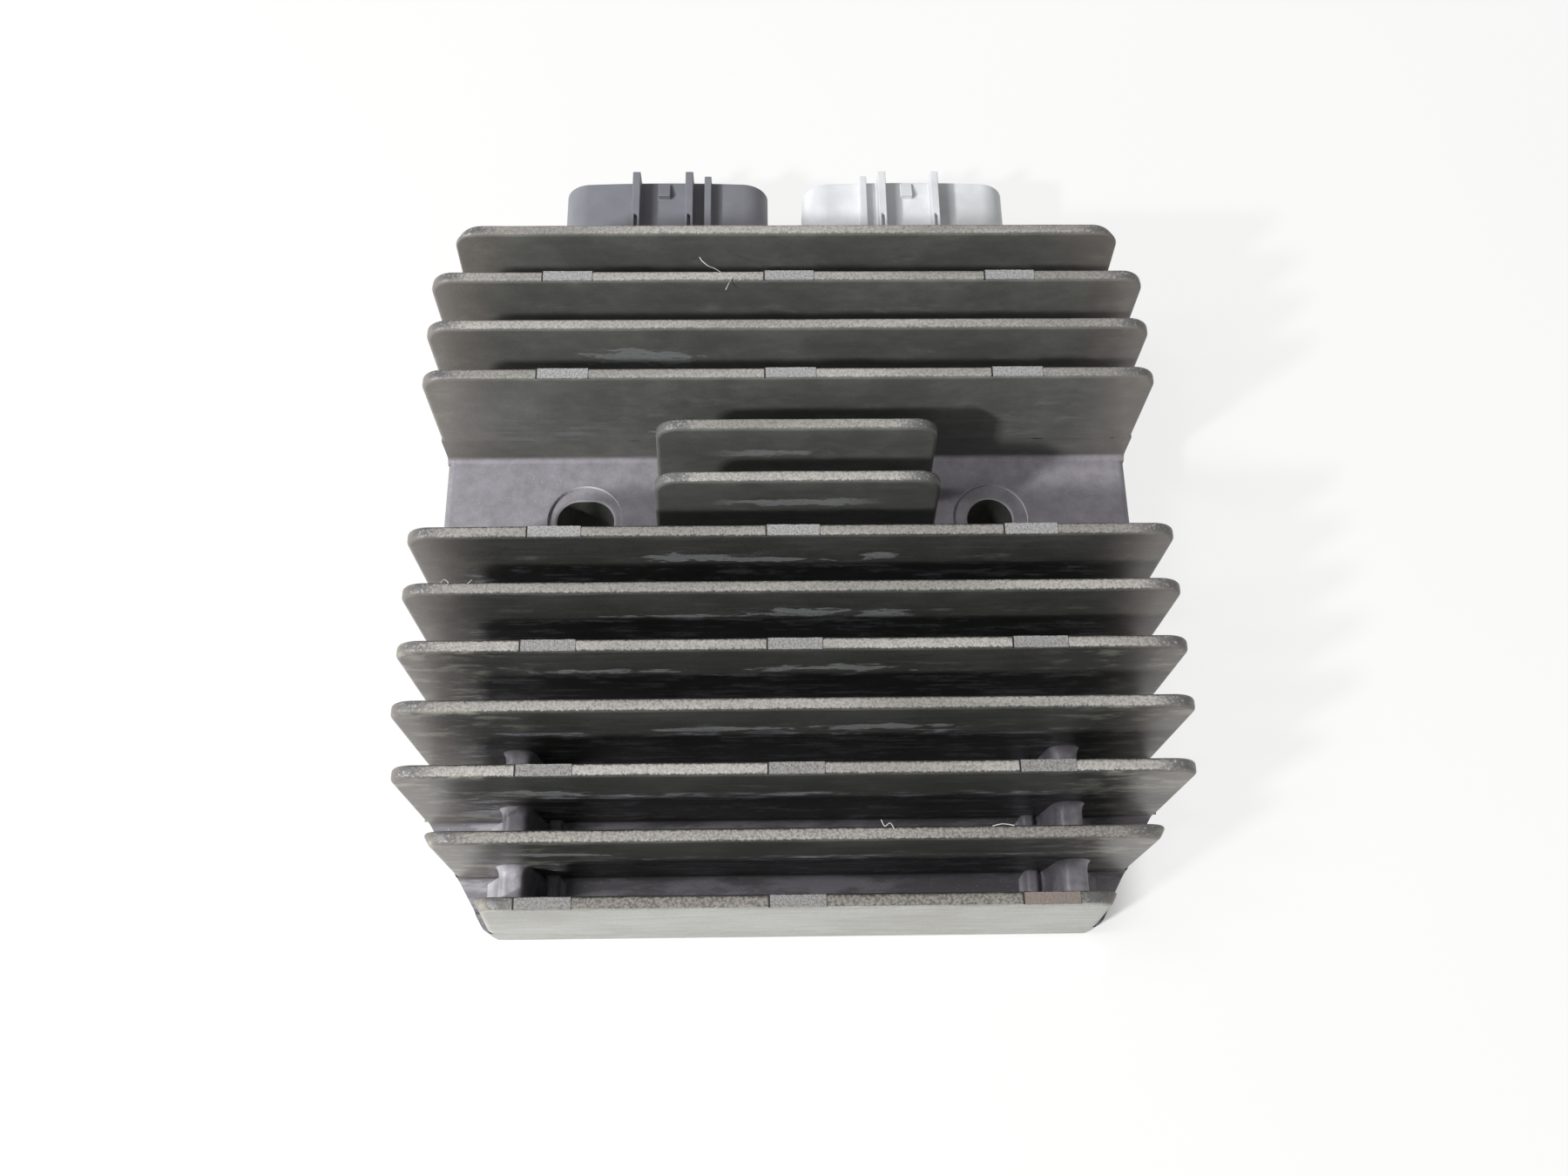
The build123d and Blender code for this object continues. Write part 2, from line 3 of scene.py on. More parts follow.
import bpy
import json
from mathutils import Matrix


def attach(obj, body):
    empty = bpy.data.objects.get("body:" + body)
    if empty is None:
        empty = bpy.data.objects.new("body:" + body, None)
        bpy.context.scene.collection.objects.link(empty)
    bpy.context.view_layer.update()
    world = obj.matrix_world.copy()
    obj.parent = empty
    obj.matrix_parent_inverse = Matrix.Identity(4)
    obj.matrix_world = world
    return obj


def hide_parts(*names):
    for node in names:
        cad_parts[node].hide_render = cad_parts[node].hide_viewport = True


bl_info = {
    "name": "Voltage Regulator Rectifier",
    "version": (1, 0, 0),
    "blender": (4, 5, 0),
    "location": "3D View > Sidebar > Regulator",
    "description": "Builds a finned cast regulator with its connectors, finishes and studio",
    "category": "Object",
}

import json
import math

import bmesh
import bpy
from bpy.props import FloatProperty, FloatVectorProperty, IntProperty, PointerProperty
from mathutils import Matrix, Vector

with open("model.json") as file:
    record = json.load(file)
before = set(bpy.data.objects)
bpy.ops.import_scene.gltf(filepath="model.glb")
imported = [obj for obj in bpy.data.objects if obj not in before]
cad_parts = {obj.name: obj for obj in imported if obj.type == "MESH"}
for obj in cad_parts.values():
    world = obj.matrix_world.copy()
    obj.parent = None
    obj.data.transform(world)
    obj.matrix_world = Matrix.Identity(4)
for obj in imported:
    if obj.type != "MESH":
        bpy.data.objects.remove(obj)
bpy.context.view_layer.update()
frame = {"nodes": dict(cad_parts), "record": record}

MM = 0.001

# Places on the casting, in millimetres from the frame's origin
FIN_COUNT = 13
FIN_PITCH = 8.0
SHORT_FINS = (5, 6)
FRONT_TIP_DROPS = {11: 1.6, 12: 3.8, 13: 5.75}
PAD_FINS = (2, 4, 7, 9, 11, 13)
PAD_SPACING = 32.0
CHANNEL_FLOOR = 7.85
MOUNT_FLOOR = 13.85
REAR_DECK = 18.5
DRAFT_START = 4.5
ROOT_HEIGHT = 1.4
SIDE_X = 53.65
REAR_ARC_Y = 26.0
REAR_ARC_RADIUS = 18.0
SIDE_CORNER_Y = -44.6
FRONT_CORNER_X = 43.8
FRONT_Y = -61.41
FIN_END_INSET = 0.05
FRONT_FIN_END_INSET = 0.7
TIP_NARROWING = {11: 0.45, 12: 0.65, 13: 0.7}
SHORT_FIN_HALF = 19.65
SHORT_FIN_SHIFT = 0.9
SHORT_FIN_STUB = 1.1
FIN_WAVINESS = 0.12
# How deep a fin's skin goes into its root
FIN_SINK = 0.3
HOLE_X = 31.4
SEAT_RADIUS = 5.82
SEAT_LEVEL = MOUNT_FLOOR - 0.6
# A pad is this much shorter than its fin's tip is thick
PAD_MARGIN = 0.3
PAD_DEPTH = 0.9
PAD_RISE = 0.075
PAD_RAGGEDNESS = 0.2
WEB_CHANNELS = (10, 11, 12)
WEB_X = 38.7
LOW_RIB_X = 34.4
LOW_RIB_WIDTH = 1.8
LOW_RIB_RISE = 1.7
# Radii of a web's top, outer root and inner root, and its flare into the fins
WEB_ROUNDS = (1.1, 3.0, 1.4, 1.6)
LOW_RIB_ROUNDS = (0.6, 0.8, 0.8, 0.9)
# Where the faces of the solid's webs lie: x, highest level, and y from a channel's middle
WEB_FACES_X = (33.0, 44.6)
WEB_FACES_TOP = 18.4
WEB_FACES_Y = 2.4
# Half the run of a web between two fins, and the lean of its sides in degrees
WEB_REACH = 2.85
WEB_DRAFT = 4.0
# The mounting floor's side lips lie beyond this x and within this y of the origin, and the
# holes' rims within this distance of a hole's middle
LIP_FROM_X = 50.0
LIP_WITHIN_Y = 10.5
RIM_WITHIN = 5.2
# Faces of the casting that reach above this belong to a fin
BASE_TOP = 20.5
# Two levels this close are one
LEVEL_SLACK = 0.02
# Vertices this close are one, in metres
WELD = 1e-7
FIN_WELD = 2e-6

# Shading stays smooth up to these angles, in degrees
CAST_ANGLE = 34.0
ROUND_ANGLE = 60.0

# Pale smears on the fins' front faces: fin, middle, depth below the tip, half length and
# half height, in millimetres
SMEARS = (
    (3, -21.5, 7.6, 7.5, 2.4),
    (4, -8.0, 15.8, 11.0, 1.1),
    (5, -5.0, 7.2, 9.0, 1.0),
    (6, 0.0, 6.6, 13.0, 1.2),
    (7, -15.5, 7.2, 6.5, 1.5),
    (7, -5.0, 8.0, 12.0, 0.9),
    (7, 12.0, 6.9, 3.2, 1.5),
    (8, 0.5, 7.6, 8.0, 1.7),
    (8, -14.0, 8.8, 10.0, 0.7),
    (8, 12.6, 8.4, 3.6, 2.0),
    (9, -26.0, 8.3, 11.0, 0.9),
    (9, 6.0, 7.4, 10.0, 1.5),
    (10, -10.0, 8.8, 10.0, 1.1),
    (10, 11.0, 8.2, 10.0, 1.5),
    (11, -33.0, 9.0, 6.0, 1.6),
    (12, -32.0, 8.0, 7.0, 1.4),
)

# Fibres that lie on the casting, each a path in millimetres
FIBRES = (
    (
        (-12.88, 31.18, 37.9),
        (-12.49, 30.43, 38.0),
        (-11.6, 29.68, 37.9),
        (-10.72, 29.23, 37.95),
        (-9.71, 28.49, 38.01),
    ),
    ((-7.82, 27.89, 38.01), (-8.44, 27.01, 38.01), (-9.07, 25.7, 37.8)),
    (
        (-46.39, -19.27, 38.01),
        (-45.97, -18.78, 37.98),
        (-45.37, -19.28, 38.01),
        (-45.68, -19.64, 38.01),
    ),
    ((-42.85, -19.42, 38.01), (-42.33, -18.81, 37.9)),
    ((10.74, -50.27, 34.1), (11.15, -51.15, 34.26), (11.82, -50.72, 34.3), (12.34, -51.49, 34.26)),
    ((24.8, -51.25, 34.24), (26.1, -51.0, 34.3), (27.6, -51.2, 34.24)),
)

# Direction from the object, and size in metres, of the two soft boxes
KEY_LIGHT = ((-0.627, -0.432, 0.649), 0.05)
TOP_LIGHT = ((-0.75, -0.03, 1.0), 0.2)
LIGHT_DISTANCE = 0.75

# The camera, solved from the fin stack
CAMERA_PLACE = (-4.147, -79.69, 197.70)
CAMERA_RIGHT = (0.99982, -0.01269, 0.01340)
CAMERA_FORWARD = (0.01698, 0.34840, -0.93719)
CAMERA_LENS = 29.688

# Half the side and the level of the paper floor, in metres
PAPER_HALF = 1.2
PAPER_LEVEL = -0.00005


# Sizes and colours that a user would change


def in_mm(name, millimetres, description):
    return FloatProperty(
        name=name, description=description, default=millimetres * MM, unit="LENGTH"
    )


def in_degrees(name, degrees, description):
    return FloatProperty(
        name=name, description=description, default=math.radians(degrees), subtype="ANGLE"
    )


def in_watts(name, watts, description):
    return FloatProperty(name=name, description=description, default=watts, unit="POWER")


def as_colour(name, value, description):
    return FloatVectorProperty(
        name=name, description=description, default=value, subtype="COLOR", size=3
    )


class CastingSettings(bpy.types.PropertyGroup):
    """Sizes of the fins and pads of the casting, and its coats."""

    tip_level: in_mm("Tip level", 38.0, "Height of the full fins")
    tip_thickness: in_mm("Tip thickness", 1.8, "Fin thickness at its tip")
    face_draft: in_degrees("Face draft", 1.2, "Lean of a fin's faces")
    end_draft: in_degrees("End draft", 2.8, "Lean of a fin's ends")
    front_end_draft: in_degrees("Front end draft", 5.8, "Lean of the front fin's ends")
    corner_radius: in_mm("Corner radius", 3.3, "Radius of a fin's upper corners")
    edge_radius: in_mm("Edge radius", 0.6, "Rounding of the edges of a fin")
    pad_width: in_mm("Pad width", 7.3, "Width of a cast pad")
    lip_rounding: in_mm("Lip rounding", 1.1, "Rounding of the mounting floor's side lips")
    rim_rounding: in_mm("Rim rounding", 0.45, "Rounding of the mounting holes' rims")
    web_level: in_mm("Web level", 18.2, "Height of the front webs")
    web_width: in_mm("Web width", 3.6, "Width of a web's top")
    coat: as_colour("Coat", (0.112, 0.114, 0.105), "Dark olive coat of the fin faces")
    blasted: as_colour("Blasted tips", (0.33, 0.315, 0.295), "Light, sandblasted tips")
    floor: as_colour("Floors", (0.19, 0.18, 0.2), "Purple-grey floors between the fins")


class ConnectorSettings(bpy.types.PropertyGroup):
    """Finish of the two connector housings."""

    moulded_rounding: in_mm("Moulded rounding", 0.14, "Rounding of the mouldings' edges")
    dark: as_colour("AC plastic", (0.18, 0.18, 0.205), "Plastic of the AC side's housing")
    light: as_colour("DC plastic", (0.62, 0.63, 0.65), "Plastic of the DC side's housing")


class DustSettings(bpy.types.PropertyGroup):
    """Loose dust and fibres on the casting."""

    speck_density: FloatProperty(
        name="Speck density",
        description="Dust specks on a square metre",
        default=26000.0,
        subtype="UNSIGNED",
    )
    speck_radius: in_mm("Speck radius", 0.11, "Radius of the largest speck")
    fibre_radius: in_mm("Fibre radius", 0.055, "Radius of a fibre")
    seed: IntProperty(
        name="Seed", description="Seed of the dust's places", default=4, subtype="UNSIGNED"
    )


class StageSettings(bpy.types.PropertyGroup):
    """Lights and background."""

    key_power: in_watts("Key light", 5.0, "Power of the soft box at the left")
    top_power: in_watts("Top light", 2.8, "Power of the soft box overhead")
    fill: FloatProperty(
        name="Fill light",
        description="Strength of the surroundings",
        default=0.4,
        min=0.0,
        soft_max=1.0,
        subtype="FACTOR",
    )
    paper: as_colour("Paper", (0.955, 0.955, 0.95), "Background")


# Node trees


class Socket:
    """A node socket that takes part in Python expressions."""

    def __init__(self, tree, value):
        self.tree = tree
        self.value = value

    def maths(self, operation, *others, clamp=False):
        node = self.tree.nodes.new("ShaderNodeMath")
        node.operation = operation
        node.use_clamp = clamp
        for slot, other in zip(node.inputs, (self, *others)):
            feed(self.tree, slot, other)
        return Socket(self.tree, node.outputs[0])

    def __add__(self, other):
        return self.maths("ADD", other)

    __radd__ = __add__

    def __sub__(self, other):
        return self.maths("SUBTRACT", other)

    def __rsub__(self, other):
        return Socket(self.tree, other).maths("SUBTRACT", self)

    def __mul__(self, other):
        return self.maths("MULTIPLY", other)

    __rmul__ = __mul__

    def __truediv__(self, other):
        return self.maths("DIVIDE", other)

    def __neg__(self):
        return self.maths("MULTIPLY", -1.0)

    def __pow__(self, other):
        return self.maths("POWER", other)

    def sine(self):
        return self.maths("SINE")

    def cosine(self):
        return self.maths("COSINE")

    def size(self):
        return self.maths("ABSOLUTE")

    def held(self):
        """The value held between 0 and 1."""
        return self.maths("ADD", 0.0, clamp=True)

    def ramp(self, low, high):
        """0 below low, 1 above high, smooth between; low may be above high."""
        node = self.tree.nodes.new("ShaderNodeMapRange")
        node.interpolation_type = "SMOOTHSTEP"
        low, high, start, end = (low, high, 0.0, 1.0) if high > low else (high, low, 1.0, 0.0)
        for slot, value in zip(node.inputs, (self, low, high, start, end)):
            feed(self.tree, slot, value)
        return Socket(self.tree, node.outputs[0])


def feed(tree, slot, value):
    """Links a socket, or sets a plain value."""
    if isinstance(value, Socket):
        value = value.value
    if isinstance(value, bpy.types.NodeSocket):
        tree.links.new(value, slot)
    elif slot.type == "RGBA" and len(value) == 3:
        slot.default_value = (*value, 1.0)
    else:
        slot.default_value = value


class Nodes:
    """Adds nodes to one tree."""

    def __init__(self, tree):
        self.tree = tree

    def add(self, kind, settings=None, values=None, output=0):
        """A node of a kind: its settings first, then the values or links of its sockets."""
        node = self.tree.nodes.new(kind)
        for name, value in (settings or {}).items():
            setattr(node, name, value)
        for name, value in (values or {}).items():
            feed(self.tree, node.inputs[name], value)
        return Socket(self.tree, node.outputs[output])

    def split(self, vector):
        node = self.tree.nodes.new("ShaderNodeSeparateXYZ")
        feed(self.tree, node.inputs[0], vector)
        return [Socket(self.tree, out) for out in node.outputs]

    def join(self, x, y, z):
        return self.add("ShaderNodeCombineXYZ", values={"X": x, "Y": y, "Z": z})

    def mix(self, share, first, second):
        """Colours mixed by a share."""
        settings = {"data_type": "RGBA", "clamp_factor": True}
        return self.add("ShaderNodeMix", settings, {0: share, 6: first, 7: second}, output=2)

    def noise(self, place, scale, detail=3.0, roughness=0.5, distortion=0.0):
        values = {
            "Vector": place,
            "Scale": scale,
            "Detail": detail,
            "Roughness": roughness,
            "Distortion": distortion,
        }
        return self.add("ShaderNodeTexNoise", values=values)

    def stretched(self, place, stretch):
        """Object coordinates stretched so that a pattern runs along the small numbers."""
        return self.add(
            "ShaderNodeVectorMath", {"operation": "MULTIPLY"}, {0: place, 1: stretch}
        )


class Finish(Nodes):
    """A material with one Principled shader."""

    def __init__(self, name, **constants):
        self.material = bpy.data.materials.new(name)
        self.material.use_nodes = True
        super().__init__(self.material.node_tree)
        self.shader = self.tree.nodes["Principled BSDF"]
        self.set(**constants)
    # Even white surroundings; the camera sees them as plain white, everything else at the fill's strength.

    def place(self):
        return self.add("ShaderNodeTexCoord", output=3)

    def normal(self):
        return self.add("ShaderNodeNewGeometry", output=1)

    def set(self, **values):
        for key, value in values.items():
            feed(self.tree, self.shader.inputs[key.replace("_", " ")], value)

    def bump(self, height, strength, distance):
        bump = self.add(
            "ShaderNodeBump", values={"Strength": strength, "Distance": distance, "Height": height}
        )
        self.set(Normal=bump)

    def done(self, base, roughness, height, strength, distance):
        """Sets the colour, the roughness and the relief, and gives the material."""
        self.set(Base_Color=base, Roughness=roughness.held())
        self.bump(height, strength, distance)
        return self.material


# Finishes


def toned(colour, share):
    """A colour made lighter or darker."""
    return [min(1.0, part * share) for part in colour]


class CastingFinish(Finish):
    """A finish of the casting, with its place in millimetres and its shared patterns."""

    def __init__(self, name, settings, **constants):
        super().__init__(name, **constants)
        self.settings = settings
        self.spot = self.add(
            "ShaderNodeVectorMath", {"operation": "SCALE"}, {0: self.place(), "Scale": 1000.0}
        )
        self.x, self.y, self.z = self.split(self.spot)
        self.facing = self.split(self.normal())
        self.up = self.facing[2]
        self.fine = self.noise(self.spot, 2.6, 2.0, 0.6)
        self.grain = self.noise(self.spot, 5.2, 1.0, 0.5)
        self.cloud = self.noise(self.spot, 0.09, 4.0, 0.6)
        self.streak = self.drawn_out((0.1, 1.0, 0.85), 1.0, 6.0, 0.68, 0.5)

    def drawn_out(self, stretch, *noise):
        """A noise drawn out along the directions with small numbers."""
        return self.noise(self.stretched(self.spot, stretch), *noise)

    def layer(self, name):
        """A length kept on the mesh, in millimetres."""
        kept = self.add("ShaderNodeAttribute", {"attribute_name": name}, output=2)
        return kept * 1000.0

    def olive_coat(self):
        """The dark coat: brushed along the fins, and darker towards the front fins as painted shade."""
        coat = self.settings.coat
        clouds = self.cloud.ramp(0.4, 0.65)
        rear_coat = self.mix(clouds, coat, toned(coat, 1.3))
        painted_shade_front_coat = self.mix(clouds, toned(coat, 0.36), toned(coat, 0.52))
        # painted shade: the coat darkens towards the front fins
        base = self.mix(self.y.ramp(2.0, -14.0), rear_coat, painted_shade_front_coat)
        blotch = self.drawn_out((0.45, 1.0, 0.8), 0.55, 5.0, 0.7)
        dark = (blotch * 0.7 + self.fine * 0.3).ramp(0.36, 0.6) * 0.3
        base = self.mix(dark, base, (0.03, 0.031, 0.03))
        grit = (self.grain * 0.6 + self.fine * 0.4).ramp(0.4, 0.66) * 0.15
        base = self.mix(grit, base, (0.2, 0.2, 0.185))
        return self.mix(self.streak.ramp(0.45, 0.75) * 0.4, base, (0.13, 0.128, 0.115))

    def worn_front_and_painted_reflection(self):
        """The outermost face: pale, with fine lengthwise lines; partly bare worn metal, partly painted
        reflection of the white surroundings.
        """
        lines = (self.streak * 0.65 + self.fine * 0.35).ramp(0.38, 0.62)
        bare = self.mix(lines, (0.25, 0.25, 0.228), (0.37, 0.37, 0.345))
        return self.mix(self.cloud.ramp(0.5, 0.68) * 0.4, bare, (0.24, 0.225, 0.195))

    def warm_ends_and_painted_light(self, base, near):
        """Paler and warmer towards the casting's sides: partly painted light where the ends catch more
        light from the sides, partly warmer metal.
        """
        base = self.mix(near * 0.8, base, (0.16, 0.143, 0.13))
        worn = self.drawn_out((0.35, 1.0, 0.6), 0.6, 5.0, 0.68)
        return self.mix(near * worn.ramp(0.46, 0.68) * 0.35, base, (0.25, 0.235, 0.21))


def smears(finish, depth):
    """The placed smears on the fins' front faces, their outlines torn."""
    torn = finish.drawn_out((0.3, 0.5, 0.9), 1.0, 6.0, 0.6)
    marks = 0.0
    for number, middle, low, length, height in SMEARS:
        away = ((finish.x - middle) / length) ** 2.0 + ((depth - low) / height) ** 2.0
        smear = (1.0 - away ** 0.5 + (torn - 0.5) * 3.6).ramp(0.05, 0.35)
        smear = smear * (finish.y - fin_y(number)).size().ramp(3.2, 3.0)
        marks = smear.maths("MAXIMUM", marks)
    return marks


def blasted_tip(finish, corner):
    """Sandblasted tips: grained, dark and worn at the corners, with painted shade that makes them darker
    and browner on the front fins.
    """
    fine, x, y = finish.fine, finish.x, finish.y
    wear = finish.drawn_out((0.02, 0.13, 0.0), 1.0, 2.0, 0.5).ramp(0.36, 0.62)
    blasted = finish.settings.blasted
    pale, dull = (
        finish.mix(wear, toned(blasted, tone * 0.66), toned(blasted, tone)) for tone in (1.16, 0.74)
    )
    tip = finish.mix((fine * 0.6 + finish.grain * 0.4).ramp(0.34, 0.64), dull, pale)
    # painted shade: darker, browner tips on the front fins
    painted_front_shade = y.ramp(-46.0, -52.0) * 0.45 + y.ramp(-58.0, -59.0) * x.ramp(-36.0, -30.0) * 0.35
    brown = finish.mix(fine.ramp(0.4, 0.6), (0.085, 0.078, 0.07), (0.2, 0.185, 0.165))
    worn = finish.mix(fine.ramp(0.58, 0.68), (0.085, 0.085, 0.088), (0.3, 0.3, 0.295))
    return finish.mix(corner * 0.85, finish.mix(painted_front_shade, tip, brown), worn)


def fin_finish(settings):
    """Fins: blasted tips, dark worn corners, stained and streaked faces."""
    finish = CastingFinish("coated_fins", settings, Specular_IOR_Level=0.42)
    fine, streak, grain = finish.fine, finish.streak, finish.grain
    depth = finish.layer("below_tip")
    end = finish.layer("from_end")
    tip = (finish.up + (fine - 0.5) * 0.5).ramp(0.72, 0.96) * depth.ramp(3.4, 2.8)

    # painted light in part: the fin ends turn paler and warmer where they catch light from the sides
    ends = (end + (finish.cloud - 0.5) * 9.0).ramp(12.0, 1.5) * finish.x.size().ramp(22.0, 30.0)
    face = finish.warm_ends_and_painted_light(finish.olive_coat(), ends)

    # pale handling marks, and pale patches deep between the fins, partly scuffing, partly painted
    # reflection of the pale floors
    patches = finish.drawn_out((0.16, 0.5, 0.45), 1.0, 5.0, 0.66)
    marks = (patches * 0.8 + streak * 0.2).ramp(0.54, 0.66) * 0.35
    marks = marks * depth.ramp(4.5, 6.5) * depth.ramp(9.8, 8.6)
    marks = marks.maths("MAXIMUM", smears(finish, depth))
    towards_front = (-finish.facing[1]).ramp(0.0, 0.4)
    marks = marks * (streak * 0.5 + fine * 0.5).ramp(0.25, 0.55) * end.ramp(6.0, 14.0)
    marks = marks * towards_front
    face = finish.mix(marks * 0.85, face, (0.26, 0.27, 0.275))
    # painted reflection in part: pale bluish patches in the shaded band low on the front faces
    scuffs_and_painted_reflection = streak.ramp(0.42, 0.6) * (grain.ramp(0.25, 0.6) * 0.6 + 0.4)
    scuffs_and_painted_reflection = scuffs_and_painted_reflection * patches.ramp(0.46, 0.58) * depth.ramp(9.4, 10.4) * end.ramp(3.0, 12.0)
    scuffs_and_painted_reflection = scuffs_and_painted_reflection * towards_front * (finish.y.ramp(-8.0, -12.0) * 0.75 + 0.15)
    face = finish.mix(scuffs_and_painted_reflection, face, (0.42, 0.43, 0.48))

    # lime-coloured streaks near the ends of the front fins
    lime = finish.drawn_out((0.2, 0.9, 0.5), 0.8, 5.0, 0.66)
    patch = lime.ramp(0.5, 0.64) * finish.y.ramp(-22.0, -30.0) * end.ramp(24.0, 8.0)
    face = finish.mix(patch * 0.5, face, (0.34, 0.34, 0.28))

    # painted reflection in part: the outermost fin face is pale
    face = finish.mix(finish.y.ramp(-60.55, -60.8), face, finish.worn_front_and_painted_reflection())
    corner = (end + (fine - 0.5) * 3.0).ramp(6.5, 2.5)
    base = finish.mix(tip, face, blasted_tip(finish, corner))
    rough = 0.4 + tip * (1.0 - corner) * 0.34 + marks * 0.15 + (finish.cloud - 0.5) * 0.15
    return finish.done(base, rough, fine * (0.4 + tip * 0.6) + streak * 0.25, 0.55, 0.00012)


def pad_finish(settings):
    """Cast pads: flat and rough, darker towards the front fins as painted shade, with a near-black line of
    painted shadow at one end and rust on the front right one.
    """
    finish = CastingFinish("rough_pads", settings)
    grains = (finish.fine * 0.5 + finish.grain * 0.5).ramp(0.34, 0.6)
    rear = finish.mix(grains, (0.18, 0.18, 0.183), (0.33, 0.33, 0.328))
    front = finish.mix(grains, (0.13, 0.127, 0.122), (0.25, 0.245, 0.238))
    # painted shade: the pads darken towards the front fins
    pitted_and_painted_shade = finish.mix(finish.y.ramp(-4.0, -42.0), rear, front)
    rust = finish.x.ramp(27.0, 27.6) * finish.y.ramp(-58.0, -58.5)
    rusty = finish.mix(finish.cloud.ramp(0.35, 0.6), (0.13, 0.115, 0.105), (0.2, 0.15, 0.125))
    base = finish.mix(rust * finish.fine.ramp(0.3, 0.6), pitted_and_painted_shade, rusty)
    # painted shadow: a near-black line at one end of each pad
    painted_gap_shadow = finish.layer("across_pad").ramp(-3.38, -3.46)
    base = finish.mix(painted_gap_shadow, base, (0.012, 0.012, 0.012))
    rough = 0.7 + finish.grain * 0.2
    return finish.done(base, rough, finish.fine + finish.grain * 0.5, 0.7, 0.00014)


def base_finish(settings):
    """The casting's base: purple-grey floors, olive walls, machined seats and hole rims."""
    finish = CastingFinish("coated_base", settings, Specular_IOR_Level=0.45)
    floor = settings.floor
    # painted light in part: the walls turn paler and warmer towards the casting's sides
    ends = (finish.x.size() + (finish.cloud - 0.5) * 9.0).ramp(42.0, 52.0)
    wall = finish.warm_ends_and_painted_light(finish.olive_coat(), ends)

    mottle = finish.noise(finish.spot, 0.45, 6.0, 0.68)
    floors = finish.mix(mottle.ramp(0.3, 0.72), floor, toned(floor, 1.35))
    # the floors below the mounting floor get broader paler and darker streaks
    floor_streaks = finish.drawn_out((0.14, 0.5, 1.0), 0.55, 6.0, 0.68)
    pale = finish.mix(floor_streaks.ramp(0.44, 0.6), toned(floor, 0.75), toned(floor, 1.5))
    floors = finish.mix(finish.z.ramp(12.6, 12.0), floors, pale)
    floors = finish.mix(finish.grain.ramp(0.34, 0.29) * 0.35, floors, toned(floor, 0.5))
    grit = finish.noise(finish.spot, 3.4, 1.0, 0.5).ramp(0.72, 0.76)
    floors = finish.mix(grit * 0.6, floors, toned(floor, 2.8))
    is_floor = finish.up.ramp(0.25, 0.8) * finish.z.ramp(20.5, 20.1) * finish.z.ramp(6.5, 7.3)
    base = finish.mix(is_floor, wall, floors)
    # painted reflection in part: the outermost face of the base is pale
    outer = finish.y.ramp(-60.0, -60.4) * (-finish.facing[1]).ramp(0.5, 0.8)
    base = finish.mix(outer, base, finish.worn_front_and_painted_reflection())

    # the turned seats, and the bores in them
    seat = ((finish.x.size() - HOLE_X) ** 2.0 + finish.y ** 2.0) ** 0.5
    near = seat.ramp(SEAT_RADIUS + 0.5, SEAT_RADIUS + 0.4) * finish.z.ramp(12.9, 13.1)
    turned = near * (1.0 - finish.up.size().ramp(0.55, 0.9))
    base = finish.mix(turned, base, (0.85, 0.84, 0.84))
    bore = near * seat.ramp(4.6, 4.5) * finish.z.ramp(13.3, 13.0)
    base = finish.mix(bore * 0.7, base, (0.3, 0.3, 0.31))
    rough = 0.46 + (mottle - 0.5) * 0.3
    return finish.done(base, rough, finish.fine * 0.3 + mottle * 0.7, 0.5, 0.00012)


def web_finish(settings):
    """Webs: the floors' purple grey, mottled paler."""
    finish = CastingFinish("coated_webs", settings)
    mottle = finish.noise(finish.spot, 0.3, 5.0, 0.62)
    floor = settings.floor
    base = finish.mix(mottle.ramp(0.35, 0.68), toned(floor, 1.1), toned(floor, 2.0))
    base = finish.mix(finish.grain.ramp(0.34, 0.29) * 0.2, base, toned(floor, 0.5))
    rough = 0.44 + (mottle - 0.5) * 0.3
    return finish.done(base, rough, finish.fine * 0.3 + mottle * 0.7, 0.5, 0.00012)


def pale_dust():
    """Dull pale dust."""
    finish = Finish("pale_dust")
    tone = finish.noise(finish.place(), 260.0, 2.0, 0.5).ramp(0.4, 0.6)
    finish.set(Base_Color=finish.mix(tone, (0.34, 0.33, 0.3), (0.62, 0.61, 0.57)), Roughness=0.85)
    return finish.material


def moulded_plastic(name, colour):
    """Satin moulding with a fine grain and faint flow marks."""
    finish = Finish(name)
    place = finish.place()
    fine = finish.noise(place, 3200.0, 2.0, 0.5)
    cloud = finish.noise(place, 160.0, 4.0, 0.55)
    base = finish.mix(cloud.ramp(0.3, 0.75), toned(colour, 0.9), toned(colour, 1.1))
    return finish.done(base, 0.4 + cloud * 0.14, fine, 0.25, 0.00004)


def plain_metal(name, colour, dark, roughness):
    """Bare or plated metal with fine drawn lines and a little tarnish."""
    finish = Finish(name, Metallic=1.0)
    place = finish.place()
    lines = finish.noise(finish.stretched(place, (1.0, 0.08, 1.0)), 3600.0, 2.0, 0.5)
    tarnish = finish.noise(place, 400.0, 4.0, 0.6)
    base = finish.mix(tarnish.ramp(0.45, 0.75), colour, dark)
    return finish.done(base, roughness + (lines - 0.5) * 0.2, lines, 0.2, 0.00003)


def cast_resin():
    """Black potting resin: smooth with shallow sinks and a few small bubbles."""
    finish = Finish("potting_resin")
    place = finish.place()
    sinks = finish.noise(place, 55.0, 3.0, 0.5)
    bubbles = finish.add(
        "ShaderNodeTexVoronoi", {"feature": "F1"}, {"Vector": place, "Scale": 330.0}
    )
    dust = finish.noise(place, 900.0, 5.0, 0.7)
    base = finish.mix(dust.ramp(0.56, 0.75), (0.02, 0.02, 0.021), (0.07, 0.068, 0.064))
    relief = sinks + bubbles.ramp(0.05, 0.14) * 0.12
    return finish.done(base, 0.24 + sinks * 0.25, relief, 0.6, 0.0004)


